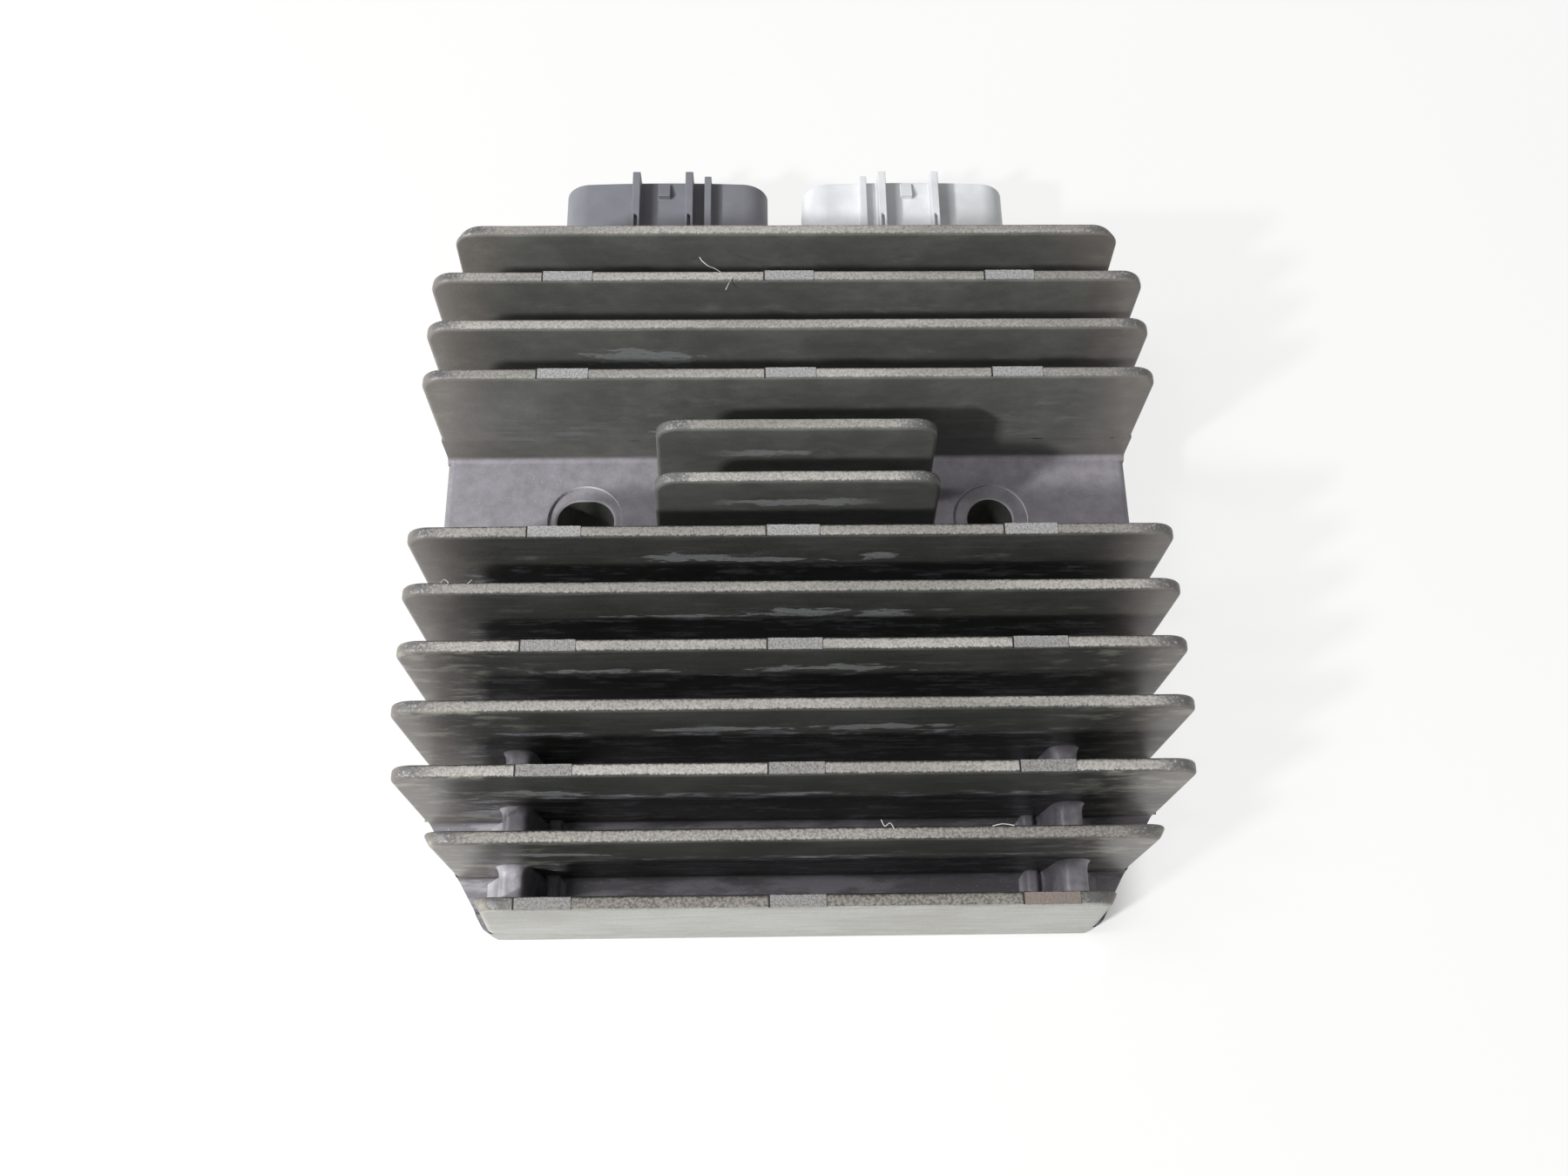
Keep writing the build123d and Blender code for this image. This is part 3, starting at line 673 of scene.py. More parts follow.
def speckled(name, colour, spots, roughness):
    """Plain moulded or laminated surface with a fine two-tone grain."""
    finish = Finish(name)
    place = finish.place()
    grain = finish.noise(place, 1400.0, 4.0, 0.6)
    base = finish.mix(grain.ramp(0.4, 0.65), colour, spots)
    return finish.done(base, roughness + (grain - 0.5) * 0.2, grain, 0.25, 0.00004)


# Meshes


def merged_copy(node):
    """A mesh made from a CAD node, its loose triangles merged into clean faces."""
    mesh = frame["nodes"][node].data.copy()
    shape = bmesh.new()
    shape.from_mesh(mesh)
    bmesh.ops.remove_doubles(shape, verts=shape.verts, dist=WELD)
    flat = math.radians(0.6)
    bmesh.ops.dissolve_limit(shape, angle_limit=flat, verts=shape.verts, edges=shape.edges)
    shape.to_mesh(mesh)
    shape.free()
    mesh.materials.clear()
    for name in [layer.name for layer in mesh.attributes if layer.name.startswith("custom")]:
        mesh.attributes.remove(mesh.attributes[name])
    return mesh


def new_object(name, mesh):
    piece = bpy.data.objects.new(name, mesh)
    bpy.context.scene.collection.objects.link(piece)
    return piece


def settled(piece):
    """The object with its modifiers turned into plain mesh."""
    bpy.context.view_layer.update()
    evaluated = piece.evaluated_get(bpy.context.evaluated_depsgraph_get())
    mesh = bpy.data.meshes.new_from_object(evaluated)
    piece.modifiers.clear()
    piece.data = mesh
    return piece


def merged_object(name, meshes):
    """One object from copies of several meshes."""
    shape = bmesh.new()
    for mesh in meshes:
        shape.from_mesh(mesh)
    mesh = bpy.data.meshes.new(name)
    shape.to_mesh(mesh)
    shape.free()
    return new_object(name, mesh)


def smooth_by_angle(piece, degrees):
    """Smooth shading that stays sharp across hard edges and flat on flat faces."""
    for polygon in piece.data.polygons:
        polygon.use_smooth = True
    piece.data.set_sharp_from_angle(angle=math.radians(degrees))
    weighted = piece.modifiers.new("flat_faces", "WEIGHTED_NORMAL")
    weighted.keep_sharp = True
    return settled(piece)


def rounded(piece, width, segments=3, pick="ANGLE"):
    """Rounds the hard edges of a piece, or those that carry a weight."""
    bevel = piece.modifiers.new("rounding", "BEVEL")
    bevel.width = width
    bevel.segments = segments
    bevel.limit_method = pick
    bevel.angle_limit = math.radians(40.0)
    bevel.use_clamp_overlap = pick == "ANGLE"
    bevel.miter_outer = "MITER_ARC"
    return settled(piece)


def measured_points(name, measures, rows):
    """One point for each row, at the origin, with the row's measures as attributes."""
    mesh = bpy.data.meshes.new(name)
    mesh.from_pydata([(0.0, 0.0, 0.0)] * len(rows), [], [])
    for column, measure in enumerate(measures):
        layer = mesh.attributes.new(measure, "FLOAT", "POINT")
        layer.data.foreach_set("value", [row[column] for row in rows])
    return new_object(name, mesh)


def finished(piece, node, material, body="root"):
    """Puts a material on a piece that stands for a node, and lets it ride."""
    piece.data.materials.clear()
    piece.data.materials.append(material)
    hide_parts(node)
    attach(piece, body)


def cast_piece(piece, name, material, angle):
    """Names and smooths a piece, and makes it part of the casting."""
    piece.name = name
    finished(smooth_by_angle(piece, angle), "heat_sink", material)


# The fin stack


def fin_y(number):
    """Centre plane of a fin, counted from the connectors."""
    return (5.5 - number) * FIN_PITCH


def channel_y(number):
    """Centre plane of the channel in front of a fin."""
    return (fin_y(number) + fin_y(number + 1)) / 2


def tip_level(settings, number):
    """Level of a fin's tip, in metres."""
    return settings.tip_level - FRONT_TIP_DROPS.get(number, 0.0) * MM


def side_at(y):
    """Half width of the casting's foot, and how fast it grows towards the connectors."""
    if y > REAR_ARC_Y:
        rise = math.sqrt(REAR_ARC_RADIUS**2 - (y - REAR_ARC_Y) ** 2)
        return SIDE_X - REAR_ARC_RADIUS + rise, -(y - REAR_ARC_Y) / rise
    slant = (SIDE_X - FRONT_CORNER_X) / (SIDE_CORNER_Y - FRONT_Y)
    if y < SIDE_CORNER_Y:
        return SIDE_X - slant * (SIDE_CORNER_Y - y), slant
    return SIDE_X, 0.0


def floor_behind(number):
    """Level of the floor on the connector side of a fin."""
    if number < SHORT_FINS[0]:
        return REAR_DECK
    return MOUNT_FLOOR if number <= SHORT_FINS[1] + 1 else CHANNEL_FLOOR


def fin_foot(number):
    """Level of a long fin's foot, on top of its root."""
    return max(floor_behind(number), floor_behind(number + 1)) + ROOT_HEIGHT


def fin_rows(settings):
    """Place and size of each fin, in metres, for the points that carry them."""
    rows = []
    for number in range(1, FIN_COUNT + 1):
        y = fin_y(number)
        tip = tip_level(settings, number)
        lean = math.tan(settings.end_draft)
        if number in SHORT_FINS:
            foot, shift = MOUNT_FLOOR * MM, SHORT_FIN_SHIFT * MM
            half, slope = SHORT_FIN_HALF * MM, 0.0
        else:
            side, slope = side_at(y)
            stretch = math.sqrt(1 + slope**2)
            foot, shift, inset = fin_foot(number) * MM, 0.0, FIN_END_INSET
            half = side * MM - stretch * lean * (foot - DRAFT_START * MM)
            if number == FIN_COUNT:
                lean, inset = math.tan(settings.front_end_draft), FRONT_FIN_END_INSET
            lean = stretch * lean + TIP_NARROWING.get(number, 0.0) * MM / (tip - foot)
            half = half - inset * MM - lean * (tip - foot)
        rows.append((y * MM, tip, foot - FIN_SINK * MM, half, slope, shift, lean))
    return rows


FIN_MEASURES = ("fin_y", "fin_tip", "fin_foot", "fin_half", "fin_slope", "fin_shift", "fin_lean")
CORNER_STEPS = 9
EDGE_STEPS = 5
TIP_SPANS = 60
QUARTER = math.pi / 2


class ShapeTree(Nodes):
    """A Geometry Nodes tree with named inputs: numbers, and the material as the last."""

    def __init__(self, name, *labels):
        tree = bpy.data.node_groups.new(name, "GeometryNodeTree")
        super().__init__(tree)
        tree.interface.new_socket("Geometry", in_out="INPUT", socket_type="NodeSocketGeometry")
        tree.interface.new_socket("Geometry", in_out="OUTPUT", socket_type="NodeSocketGeometry")
        self.names = {}
        kinds = {"Seed": "NodeSocketInt", "Material": "NodeSocketMaterial"}
        for label in (*labels, "Material"):
            kind = kinds.get(label, "NodeSocketFloat")
            made = tree.interface.new_socket(label, in_out="INPUT", socket_type=kind)
            self.names[label] = made.identifier
        self.entry = tree.nodes.new("NodeGroupInput")
        self.exit = tree.nodes.new("NodeGroupOutput")

    def given(self, label):
        return Socket(self.tree, self.entry.outputs[label])

    def measured(self, name):
        return self.add("GeometryNodeInputNamedAttribute", {"data_type": "FLOAT"}, {"Name": name})

    def keep(self, geometry, name, value):
        """Stores a measure on the points of a geometry."""
        return self.add(
            "GeometryNodeStoreNamedAttribute",
            {"data_type": "FLOAT", "domain": "POINT"},
            {"Geometry": geometry, "Name": name, "Value": value},
        )

    def on_points(self, piece):
        """A copy of a piece on every given point, made real."""
        points = self.given("Geometry")
        laid = self.add("GeometryNodeInstanceOnPoints", values={"Points": points, "Instance": piece})
        return self.add("GeometryNodeRealizeInstances", values={"Geometry": laid})

    def sheets(self, width, depth, columns, rows):
        """A flat grid on every given point."""
        values = {"Size X": width, "Size Y": depth, "Vertices X": columns, "Vertices Y": rows}
        return self.on_points(self.add("GeometryNodeMeshGrid", values=values))

    def finish(self, geometry):
        """Ends the tree: instances made real, material set."""
        real = self.add("GeometryNodeRealizeInstances", values={"Geometry": geometry})
        dressed = self.add(
            "GeometryNodeSetMaterial", values={"Geometry": real, "Material": self.given("Material")}
        )
        feed(self.tree, self.exit.inputs[0], dressed)

    def apply(self, piece, values):
        """Adds the tree to a piece with its inputs set, and turns the result into mesh."""
        modifier = piece.modifiers.new(self.tree.name, "NODES")
        modifier.node_group = self.tree
        for label, value in values.items():
            modifier[self.names[label]] = value
        return settled(piece)


def fin_tree():
    """Skins every fin: a grid wrapped over its outline, with all edges rounded."""
    inputs = ("Tip Thickness", "Face Slope", "Corner Radius", "Edge Radius", "Waviness")
    tree = ShapeTree("cooling_fins", *inputs)
    outline_count = 2 * CORNER_STEPS + TIP_SPANS + 3
    across_count = 2 * EDGE_STEPS + 4
    spans = (float(outline_count - 1), float(across_count - 1))
    skins = tree.sheets(*spans, outline_count, across_count)

    u, v, _ = tree.split(tree.add("GeometryNodeInputPosition"))
    step = u + (outline_count - 1) / 2
    cross = v + (across_count - 1) / 2
    y0, tip, foot, half, slope, shift, lean = (tree.measured(name) for name in FIN_MEASURES)
    thick = tree.given("Tip Thickness") * 0.5
    radius = tree.given("Corner Radius")
    edge = tree.given("Edge Radius")

    # across the thickness: front face, rounded edge, flat tip, rounded edge, rear face
    front = ((cross - 1.0) / EDGE_STEPS).held() * QUARTER
    flat = (cross - (EDGE_STEPS + 1.0)).held()
    rear = ((cross - (EDGE_STEPS + 2.0)) / EDGE_STEPS).held() * QUARTER
    inset = edge * (2.0 - front.sine() - rear.cosine())
    on_face = (1.0 - cross).held() + (cross - (across_count - 2.0)).held()

    # along the outline: left end, corner, tip, corner, right end
    start = lean.maths("ARCTANGENT")
    turn = QUARTER - start
    left = ((step - 1.0) / CORNER_STEPS).held() * turn + start
    along = ((step - (CORNER_STEPS + 1.0)) / TIP_SPANS).held() * 2.0 - 1.0
    right = ((step - (CORNER_STEPS + TIP_SPANS + 1.0)) / CORNER_STEPS).held() * turn
    at_foot = (1.0 - step).held() + (step - (outline_count - 2.0)).held()
    reach = radius - inset
    centre_z = tip - radius
    z_arc = centre_z + reach * (left.sine() + right.cosine() - 1.0)
    z = z_arc + (foot - z_arc) * (at_foot + on_face).held()

    drop = tip - z
    half_thick = thick + tree.given("Face Slope") * drop
    y = (half_thick - edge) * (flat * 2.0 - 1.0) - edge * front.cosine() + edge * rear.sine()
    stretch = (lean * lean + 1.0) ** 0.5
    corner_x = half + lean * radius - radius * stretch + slope * y
    x = along * corner_x + reach * (right.sine() - left.cosine())
    x = x + along.maths("SIGN") * at_foot * lean * (z_arc - foot)

    wave = tree.noise(tree.join(x * 1.0, y0 * 3.0, z * 0.5), 110.0, 2.0) - 0.5
    lift = wave * tree.given("Waviness") * (z - foot).ramp(0.004, 0.012)
    spot = tree.join(x + shift, y + y0 + lift, z)
    kept = tree.keep(skins, "below_tip", drop)
    kept = tree.keep(kept, "from_end", half + lean * drop - x.size())
    placed = tree.add("GeometryNodeSetPosition", values={"Geometry": kept, "Position": spot})
    values = {"Geometry": placed, "Distance": FIN_WELD}
    tree.finish(tree.add("GeometryNodeMergeByDistance", values=values))
    return tree


def pad_points(settings):
    """A mesh with one point for each cast pad."""
    places = []
    for number in PAD_FINS:
        for column in (-1, 0, 1):
            tip = tip_level(settings, number)
            places.append((column * PAD_SPACING * MM, fin_y(number) * MM, tip))
    mesh = bpy.data.meshes.new("pad_points")
    mesh.from_pydata(places, [], [])
    return new_object("pad_points", mesh)


def pad_tree():
    """Lays a thin pad with ragged long edges on every pad point."""
    tree = ShapeTree("cast_pads", "Width", "Length", "Depth", "Rise", "Raggedness")
    size = tree.join(tree.given("Width"), tree.given("Length"), tree.given("Depth"))
    slab = tree.add(
        "GeometryNodeMeshCube",
        values={"Size": size, "Vertices X": 61, "Vertices Y": 5, "Vertices Z": 4},
    )
    spot_x, _, _ = tree.split(tree.add("GeometryNodeInputPosition"))
    slab = tree.keep(slab, "across_pad", spot_x)
    down = tree.given("Rise") - tree.given("Depth") * 0.5
    slab = tree.add(
        "GeometryNodeTransform", values={"Geometry": slab, "Translation": tree.join(0.0, 0.0, down)}
    )
    real = tree.on_points(slab)
    spot = tree.add("GeometryNodeInputPosition")
    torn = tree.noise(spot, 2300.0, 2.0, 0.6) - 0.5
    broad = tree.noise(spot, 700.0, 1.0, 0.5) - 0.5
    _, toward, _ = tree.split(tree.add("GeometryNodeInputNormal"))
    shove = toward * (torn + broad * 0.6) * tree.given("Raggedness")
    ragged = tree.add(
        "GeometryNodeSetPosition", values={"Geometry": real, "Offset": tree.join(0.0, shove, 0.0)}
    )
    tree.finish(ragged)
    return tree


WEB_MEASURES = (
    "web_x", "web_y", "web_top", "web_half", "top_round", "outer_round", "inner_round", "web_flare"
)
WEB_PARTS = (("flat", 2), ("edge", 5), ("side", 3), ("root", 6), ("tail", 1))
WEB_ROWS = 19


def web_rows(settings):
    """Place, size and roundings of each web and low rib, in metres."""
    rows = []
    for channel in WEB_CHANNELS:
        y = channel_y(channel) * MM
        for side in (-1, 1):
            web = (side * WEB_X * MM, y, settings.web_level, settings.web_width / 2)
            rows.append(web + tuple(part * MM for part in WEB_ROUNDS))
            top, half = (CHANNEL_FLOOR + LOW_RIB_RISE) * MM, LOW_RIB_WIDTH / 2 * MM
            rib = (side * LOW_RIB_X * MM, y, top, half)
            rows.append(rib + tuple(part * MM for part in LOW_RIB_ROUNDS))
    return rows


def web_tree():
    """Skins every web: rounded top, drafted sides, root fillets, and flares into the fins."""
    tree = ShapeTree("cast_webs", "Floor Level", "Side Slope", "Channel Half")
    steps_across = 2 * sum(steps for _, steps in WEB_PARTS)
    skins = tree.sheets(float(steps_across), 2.0, steps_across + 1, WEB_ROWS)
    u, v, _ = tree.split(tree.add("GeometryNodeInputPosition"))
    x0, y0, top, half, top_round, outer_round, inner_round, flare = (
        tree.measured(name) for name in WEB_MEASURES
    )
    side = u.maths("SIGN")
    is_outer = (side * x0.maths("SIGN")).held()
    root_round = inner_round + (outer_round - inner_round) * is_outer
    share = {}
    passed = 0.0
    for part, steps in WEB_PARTS:
        share[part] = ((u.size() - passed) / float(steps)).held()
        passed += steps

    # down the side of the section
    edge, root, tail = share["edge"], share["root"] * QUARTER, share["tail"]
    wall = top - tree.given("Floor Level") - top_round - root_round
    out = (half - top_round) * share["flat"] + top_round * (edge * QUARTER).sine()
    out = out + tree.given("Side Slope") * wall * share["side"]
    out = out + root_round * (1.0 - root.cosine()) + tail * 0.0004
    z = top - top_round * (1.0 - (edge * QUARTER).cosine()) - wall * share["side"]
    z = z - root_round * root.sine() - tail * 0.00006

    # along the channel: a fillet where the web runs into the two fins
    reach = tree.given("Channel Half")
    along = v.size()
    y = v.maths("SIGN") * (1.0 - (1.0 - along) ** 2.0) * reach
    near = 1.0 - ((reach - y.size()) / flare).held()
    swell = flare * (1.0 - (1.0 - near * near).maths("MAXIMUM", 0.0) ** 0.5)
    out = out + swell * edge * 0.55
    z = z + swell * (1.0 - edge)
    spot = tree.join(x0 + side * out, y0 + y, z)
    placed = tree.add("GeometryNodeSetPosition", values={"Geometry": skins, "Position": spot})
    tree.finish(placed)
    return tree


def dust_tree():
    """Scatters small specks over the upward faces of a mesh."""
    tree = ShapeTree("dust_specks", "Density", "Radius", "Seed")
    upward = tree.split(tree.add("GeometryNodeInputNormal"))[2]
    # the full fins' tips stay clear
    low = 1.0 - tree.split(tree.add("GeometryNodeInputPosition"))[2].ramp(0.0379, 0.038)
    places = tree.add(
        "GeometryNodeDistributePointsOnFaces",
        values={
            "Mesh": tree.given("Geometry"),
            "Selection": upward.maths("GREATER_THAN", 0.9) * low,
            "Density": tree.given("Density"),
            "Seed": tree.given("Seed"),
        },
    )
    speck = tree.add(
        "GeometryNodeMeshIcoSphere", values={"Radius": tree.given("Radius"), "Subdivisions": 1}
    )
    size = tree.add(
        "FunctionNodeRandomValue",
        {"data_type": "FLOAT"},
        {2: 0.0, 3: 1.0, "Seed": tree.given("Seed")},
        output=1,
    )
    size = size ** 3.0 * 0.75 + 0.25
    specks = tree.add(
        "GeometryNodeInstanceOnPoints",
        values={"Points": places, "Instance": speck, "Scale": tree.join(size, size * 0.8, size * 0.6)},
    )
    tree.finish(specks)
    return tree


def fibre_tree():
    """Runs a thin round hair along every path."""
    tree = ShapeTree("fibres", "Radius")
    path = tree.add("GeometryNodeMeshToCurve", values={"Mesh": tree.given("Geometry")})
    path = tree.add(
        "GeometryNodeCurveSplineType", {"spline_type": "CATMULL_ROM"}, {"Curve": path}
    )
    path = tree.add("GeometryNodeResampleCurve", values={"Curve": path, "Count": 18})
    ring = tree.add(
        "GeometryNodeCurvePrimitiveCircle", values={"Resolution": 6, "Radius": tree.given("Radius")}
    )
    hair = tree.add(
        "GeometryNodeCurveToMesh", values={"Curve": path, "Profile Curve": ring, "Fill Caps": True}
    )
    tree.finish(hair)
    return tree


def fibre_paths():
    """A mesh with the fibres' paths as edges."""
    spots = []
    edges = []
    for path in FIBRES:
        start = len(spots)
        spots += [tuple(part * MM for part in spot) for spot in path]
        edges += [(start + i, start + i + 1) for i in range(len(path) - 1)]
    mesh = bpy.data.meshes.new("fibre_paths")
    mesh.from_pydata(spots, edges, [])
    return new_object("fibre_paths", mesh)


def cut_level(number):
    """Level at which a fin leaves the base."""
    return MOUNT_FLOOR + SHORT_FIN_STUB if number in SHORT_FINS else fin_foot(number)


def is_web_face(face):
    """Whether a face of the CAD casting belongs to a web or a low rib."""
    if abs(face.normal.y) > 0.05:
        return False
    middle = face.calc_center_median() / MM
    spots = [vert.co / MM for vert in face.verts]
    lowest, *_, highest = sorted(spot.z for spot in spots)
    return (
        CHANNEL_FLOOR + LEVEL_SLACK < highest < WEB_FACES_TOP
        and lowest > CHANNEL_FLOOR - LEVEL_SLACK
        and all(WEB_FACES_X[0] < abs(spot.x) < WEB_FACES_X[1] for spot in spots)
        and min(abs(middle.y - channel_y(number)) for number in WEB_CHANNELS) < WEB_FACES_Y
    )


def mark_soft_edges(shape, settings):
    """Weights for the edges that the foundry left rounder: floor lips and hole rims."""
    weights = shape.edges.layers.float.new("bevel_weight_edge")
    for edge in shape.edges:
        first, second = (vert.co / MM for vert in edge.verts)
        if all(abs(end.z - MOUNT_FLOOR) <= LEVEL_SLACK for end in (first, second)):
            run = second - first
            outer = min(abs(first.x), abs(second.x)) > LIP_FROM_X and abs(run.y) > abs(run.x)
            if outer and max(abs(first.y), abs(second.y)) < LIP_WITHIN_Y:
                edge[weights] = 1.0
        elif all(abs(end.z - SEAT_LEVEL) <= LEVEL_SLACK for end in (first, second)):
            if all(math.hypot(abs(end.x) - HOLE_X, end.y) < RIM_WITHIN for end in (first, second)):
                edge[weights] = settings.rim_rounding / settings.lip_rounding


def base_of_casting(settings):
    """The casting below its fins: the CAD casting with every fin and web cut off at its root."""
    mesh = merged_copy("heat_sink")
    shape = bmesh.new()
    shape.from_mesh(mesh)
    webs = [face for face in shape.faces if is_web_face(face)]
    bmesh.ops.delete(shape, geom=webs, context="FACES")
    for number in range(1, FIN_COUNT + 1):
        middle = fin_y(number)
        near = []
        for face in shape.faces:
            highest = max((vert.co / MM for vert in face.verts), key=lambda spot: spot.z)
            if highest.z > BASE_TOP and abs(highest.y - middle) < FIN_PITCH / 2:
                near.append(face)
        apart = bmesh.ops.split(shape, geom=near)["geom"]
        bmesh.ops.bisect_plane(
            shape,
            geom=apart,
            plane_co=(0.0, 0.0, cut_level(number) * MM),
            plane_no=(0.0, 0.0, 1.0),
            clear_outer=True,
            dist=WELD,
        )
    bmesh.ops.remove_doubles(shape, verts=shape.verts, dist=WELD)
    mark_soft_edges(shape, settings)
    shape.to_mesh(mesh)
    shape.free()
    return new_object("casting_base", mesh)


def capped(piece):
    """Closes the open tops that the fins stand on."""
    levels = {round(cut_level(number) * MM, 5) for number in range(1, FIN_COUNT + 1)}
    shape = bmesh.new()
    shape.from_mesh(piece.data)
    rims = [
        edge
        for edge in shape.edges
        if edge.is_boundary and all(round(vert.co.z, 5) in levels for vert in edge.verts)
    ]
    bmesh.ops.holes_fill(shape, edges=rims, sides=0)
    shape.to_mesh(piece.data)
    shape.free()
    return piece


class REGULATOR_OT_casting_base(bpy.types.Operator):
    """Build the casting below its fins: floors, walls, mounting seats and rear pocket"""

    bl_idname = "regulator.casting_base"
    bl_label = "Casting Base"

    def execute(self, context):
        settings = context.scene.regulator_casting
        base = base_of_casting(settings)
        base = rounded(base, settings.lip_rounding, 4, "WEIGHT")
        cast_piece(capped(base), "casting_base", base_finish(settings), CAST_ANGLE)
        return {"FINISHED"}


class REGULATOR_OT_fin_stack(bpy.types.Operator):
    """Build the thirteen drafted cooling fins"""

    bl_idname = "regulator.fin_stack"
    bl_label = "Cooling Fins"

    def execute(self, context):
        settings = context.scene.regulator_casting
        material = fin_finish(settings)
        fins = fin_tree().apply(
            measured_points("fin_points", FIN_MEASURES, fin_rows(settings)),
            {
                "Tip Thickness": settings.tip_thickness,
                "Face Slope": math.tan(settings.face_draft),
                "Corner Radius": settings.corner_radius,
                "Edge Radius": settings.edge_radius,
                "Waviness": FIN_WAVINESS * MM,
                "Material": material,
            },
        )
        cast_piece(fins, "fin_stack", material, CAST_ANGLE)
        return {"FINISHED"}


class REGULATOR_OT_cast_pads(bpy.types.Operator):
    """Build the rough pads cast onto the fin tips"""

    bl_idname = "regulator.cast_pads"
    bl_label = "Tip Pads"

    def execute(self, context):
        settings = context.scene.regulator_casting
        material = pad_finish(settings)
        pads = pad_tree().apply(
            pad_points(settings),
            {
                "Width": settings.pad_width,
                "Length": settings.tip_thickness - PAD_MARGIN * MM,
                "Depth": PAD_DEPTH * MM,
                "Rise": PAD_RISE * MM,
                "Raggedness": PAD_RAGGEDNESS * MM,
                "Material": material,
            },
        )
        cast_piece(pads, "tip_pads", material, CAST_ANGLE)
        return {"FINISHED"}


class REGULATOR_OT_cast_webs(bpy.types.Operator):
    """Build the webs and low ribs between the front fins"""

    bl_idname = "regulator.cast_webs"
    bl_label = "Front Webs"

    def execute(self, context):
        settings = context.scene.regulator_casting
        material = web_finish(settings)
        webs = web_tree().apply(
            measured_points("web_points", WEB_MEASURES, web_rows(settings)),
            {
                "Floor Level": CHANNEL_FLOOR * MM,
                "Side Slope": math.tan(math.radians(WEB_DRAFT)),
                "Channel Half": WEB_REACH * MM,
                "Material": material,
            },
        )
        cast_piece(webs, "cast_webs", material, ROUND_ANGLE)
        return {"FINISHED"}


class REGULATOR_OT_dust(bpy.types.Operator):
    """Scatter the dust specks and fibres that lie on the casting"""

    bl_idname = "regulator.dust"
    bl_label = "Dust"

    def execute(self, context):
        settings = context.scene.regulator_dust
        material = pale_dust()
        ground = [context.scene.objects[name].data for name in ("casting_base", "fin_stack")]
        specks = dust_tree().apply(
            merged_object("dust_specks", ground),
            {
                "Density": settings.speck_density,
                "Radius": settings.speck_radius,
                "Seed": settings.seed,
                "Material": material,
            },
        )
        finished(specks, "heat_sink", material)
        fibres = fibre_tree().apply(
            fibre_paths(), {"Radius": settings.fibre_radius, "Material": material}
        )
        cast_piece(fibres, "fibres", material, ROUND_ANGLE)
        return {"FINISHED"}


# Connectors and what is inside


class REGULATOR_OT_connectors(bpy.types.Operator):
    """Build the two moulded connector housings"""

    bl_idname = "regulator.connectors"
    bl_label = "Connector Housings"

    def execute(self, context):
        settings = context.scene.regulator_connectors
        for side, slot, colour in (
            ("ac", "dark_plastic", settings.dark),
            ("dc", "grey_plastic", settings.light),
        ):
            node = f"{side}_connector_housing"
            piece = new_object(f"{side}_connector_moulding", merged_copy(node))
            piece = rounded(piece, settings.moulded_rounding)
            piece = smooth_by_angle(piece, CAST_ANGLE)
            finished(piece, node, moulded_plastic(slot, list(colour)))
        return {"FINISHED"}


class REGULATOR_OT_inner_parts(bpy.types.Operator):
    """Give the terminals, the sealed electronics and the resin their finishes"""

    bl_idname = "regulator.inner_parts"
    bl_label = "Terminals and Electronics"

    def execute(self, context):
        finishes = {
            "tinned_brass": plain_metal("tinned_blade", (0.66, 0.64, 0.58), (0.42, 0.38, 0.30), 0.3),
            "can_aluminium": plain_metal("drawn_can", (0.74, 0.75, 0.77), (0.55, 0.56, 0.58), 0.26),
            "potting_resin": cast_resin(),
            "silicone_sheet": speckled("silicone_sheet", (0.42, 0.45, 0.48), (0.5, 0.53, 0.56), 0.6),
            "device_plastic": speckled("device_plastic", (0.018, 0.018, 0.02), (0.035, 0.035, 0.037), 0.55),
            "board_laminate": speckled("board_laminate", (0.015, 0.11, 0.045), (0.02, 0.15, 0.06), 0.35),
        }
        for entry in frame["record"]["subparts"]:
            if entry["material_slot"] in finishes:
                node = frame["nodes"][entry["node"]]
                for place in node.material_slots:
                    place.material = finishes[entry["material_slot"]]
        return {"FINISHED"}


# Stage


class REGULATOR_OT_stage(bpy.types.Operator):
    """Build the paper floor, the soft studio lights and the camera"""

    bl_idname = "regulator.stage"
    bl_label = "Stage"

    def execute(self, context):
        settings = context.scene.regulator_stage
        paper_floor(settings)
        soft_light("key_light", *KEY_LIGHT, settings.key_power)
        soft_light("top_light", *TOP_LIGHT, settings.top_power)
        white_world(settings)
        photo_camera()
        context.scene.view_settings.view_transform = "Standard"
        return {"FINISHED"}


def paper_floor(settings):
    """White paper that keeps the object's soft shadow."""
    mesh = bpy.data.meshes.new("paper_floor")
    turns = ((-1, -1), (1, -1), (1, 1), (-1, 1))
    corners = [(x * PAPER_HALF, y * PAPER_HALF, PAPER_LEVEL) for x, y in turns]
    mesh.from_pydata(corners, [], [(0, 1, 2, 3)])
    floor = new_object("paper_floor", mesh)
    finish = Finish("white_paper", Roughness=0.7)
    place = finish.place()
    tone = finish.noise(place, 5.0, 3.0, 0.5)
    paper = finish.mix(tone.ramp(0.3, 0.7), toned(settings.paper, 0.985), settings.paper)
    finish.set(Base_Color=paper)
    glow = finish.add("ShaderNodeEmission", values={"Color": paper})
    rays = finish.tree.nodes.new("ShaderNodeLightPath")
    seen = Socket(finish.tree, rays.outputs["Is Camera Ray"])
    mirrored = Socket(finish.tree, rays.outputs["Is Glossy Ray"])
    x, y, _ = finish.split(place)
    # the glow stays off the paper under and close to the object
    beside = (x.size().ramp(0.044, 0.055) + (y + 0.01).size().ramp(0.046, 0.06)).held()
    share = (seen + mirrored).held() * beside * 0.85
    blend = finish.add(
        "ShaderNodeMixShader", values={0: share, 1: finish.shader.outputs[0], 2: glow}
    )
    feed(finish.tree, finish.tree.nodes["Material Output"].inputs["Surface"], blend)
    mesh.materials.append(finish.material)


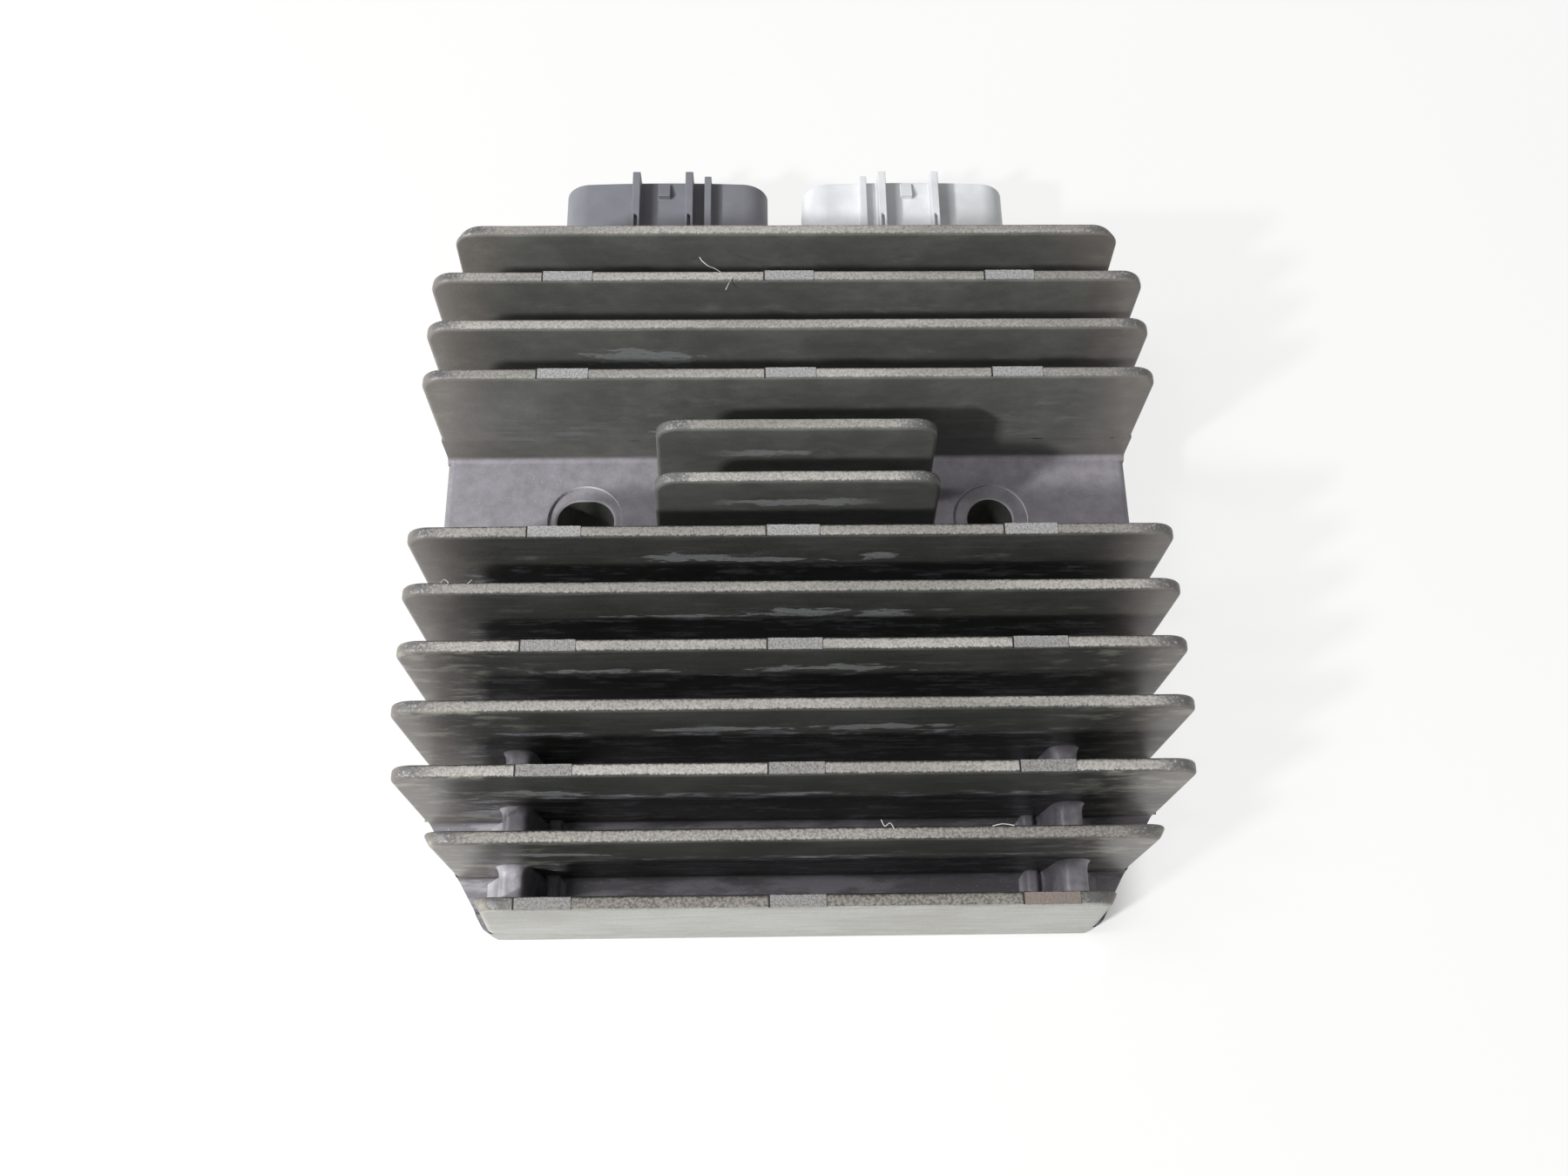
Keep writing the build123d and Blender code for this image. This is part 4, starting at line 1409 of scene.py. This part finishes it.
def soft_light(name, direction, size, power):
    """A square soft box that looks at the object from a direction."""
    lamp = bpy.data.lights.new(name, "AREA")
    lamp.shape = "SQUARE"
    lamp.size = size
    lamp.energy = power
    light = bpy.data.objects.new(name, lamp)
    aim = Vector(direction).normalized()
    light.location = aim * LIGHT_DISTANCE
    light.rotation_mode = "QUATERNION"
    light.rotation_quaternion = aim.to_track_quat("Z", "Y")
    bpy.context.scene.collection.objects.link(light)


def white_world(settings):
    """Even white surroundings; the camera and reflections see them as plain white."""
    world = bpy.data.worlds.new("white_room")
    bpy.context.scene.world = world
    world.use_nodes = True
    nodes = Nodes(world.node_tree)
    back = world.node_tree.nodes["Background"]
    rays = world.node_tree.nodes.new("ShaderNodeLightPath")
    seen = Socket(nodes.tree, rays.outputs["Is Camera Ray"])
    back.inputs["Color"].default_value = (*settings.paper, 1.0)
    feed(nodes.tree, back.inputs["Strength"], seen * (1.0 - settings.fill) + settings.fill)


def photo_camera():
    """The photograph's viewpoint, solved from the fin stack."""
    lens = bpy.data.cameras.new("camera")
    lens.lens = CAMERA_LENS
    lens.sensor_width = 36.0
    lens.clip_start = 0.01
    camera = bpy.data.objects.new("camera", lens)
    right = Vector(CAMERA_RIGHT).normalized()
    forward = Vector(CAMERA_FORWARD).normalized()
    upward = right.cross(forward).normalized()
    turn = Matrix((right, upward, -forward)).transposed().to_4x4()
    camera.matrix_world = Matrix.Translation(Vector(CAMERA_PLACE) * MM) @ turn
    bpy.context.scene.collection.objects.link(camera)
    bpy.context.scene.camera = camera


# Add-on


class REGULATOR_PT_panel(bpy.types.Panel):
    """Lists the pieces of the regulator"""

    bl_idname = "REGULATOR_PT_panel"
    bl_label = "Regulator"
    bl_space_type = "VIEW_3D"
    bl_region_type = "UI"
    bl_category = "Regulator"

    def draw(self, context):
        for name in SETTINGS:
            group = getattr(context.scene, name)
            box = self.layout.box()
            for key in group.__annotations__:
                box.prop(group, key)
        for operator in OPERATORS:
            self.layout.operator(operator.bl_idname)


SETTINGS = {
    "regulator_casting": CastingSettings,
    "regulator_connectors": ConnectorSettings,
    "regulator_dust": DustSettings,
    "regulator_stage": StageSettings,
}
OPERATORS = (
    REGULATOR_OT_casting_base,
    REGULATOR_OT_fin_stack,
    REGULATOR_OT_cast_pads,
    REGULATOR_OT_cast_webs,
    REGULATOR_OT_connectors,
    REGULATOR_OT_inner_parts,
    REGULATOR_OT_dust,
    REGULATOR_OT_stage,
)


def register():
    for group in SETTINGS.values():
        bpy.utils.register_class(group)
    for name, group in SETTINGS.items():
        setattr(bpy.types.Scene, name, PointerProperty(type=group))
    for operator in OPERATORS:
        bpy.utils.register_class(operator)
    bpy.utils.register_class(REGULATOR_PT_panel)


def unregister():
    bpy.utils.unregister_class(REGULATOR_PT_panel)
    for operator in reversed(OPERATORS):
        bpy.utils.unregister_class(operator)
    for name, group in SETTINGS.items():
        delattr(bpy.types.Scene, name)
        bpy.utils.unregister_class(group)


def main():
    register()
    bpy.ops.regulator.casting_base()
    bpy.ops.regulator.fin_stack()
    bpy.ops.regulator.cast_pads()
    bpy.ops.regulator.cast_webs()
    bpy.ops.regulator.connectors()
    bpy.ops.regulator.inner_parts()
    bpy.ops.regulator.dust()
    bpy.ops.regulator.stage()


if __name__ == "__main__":
    main()
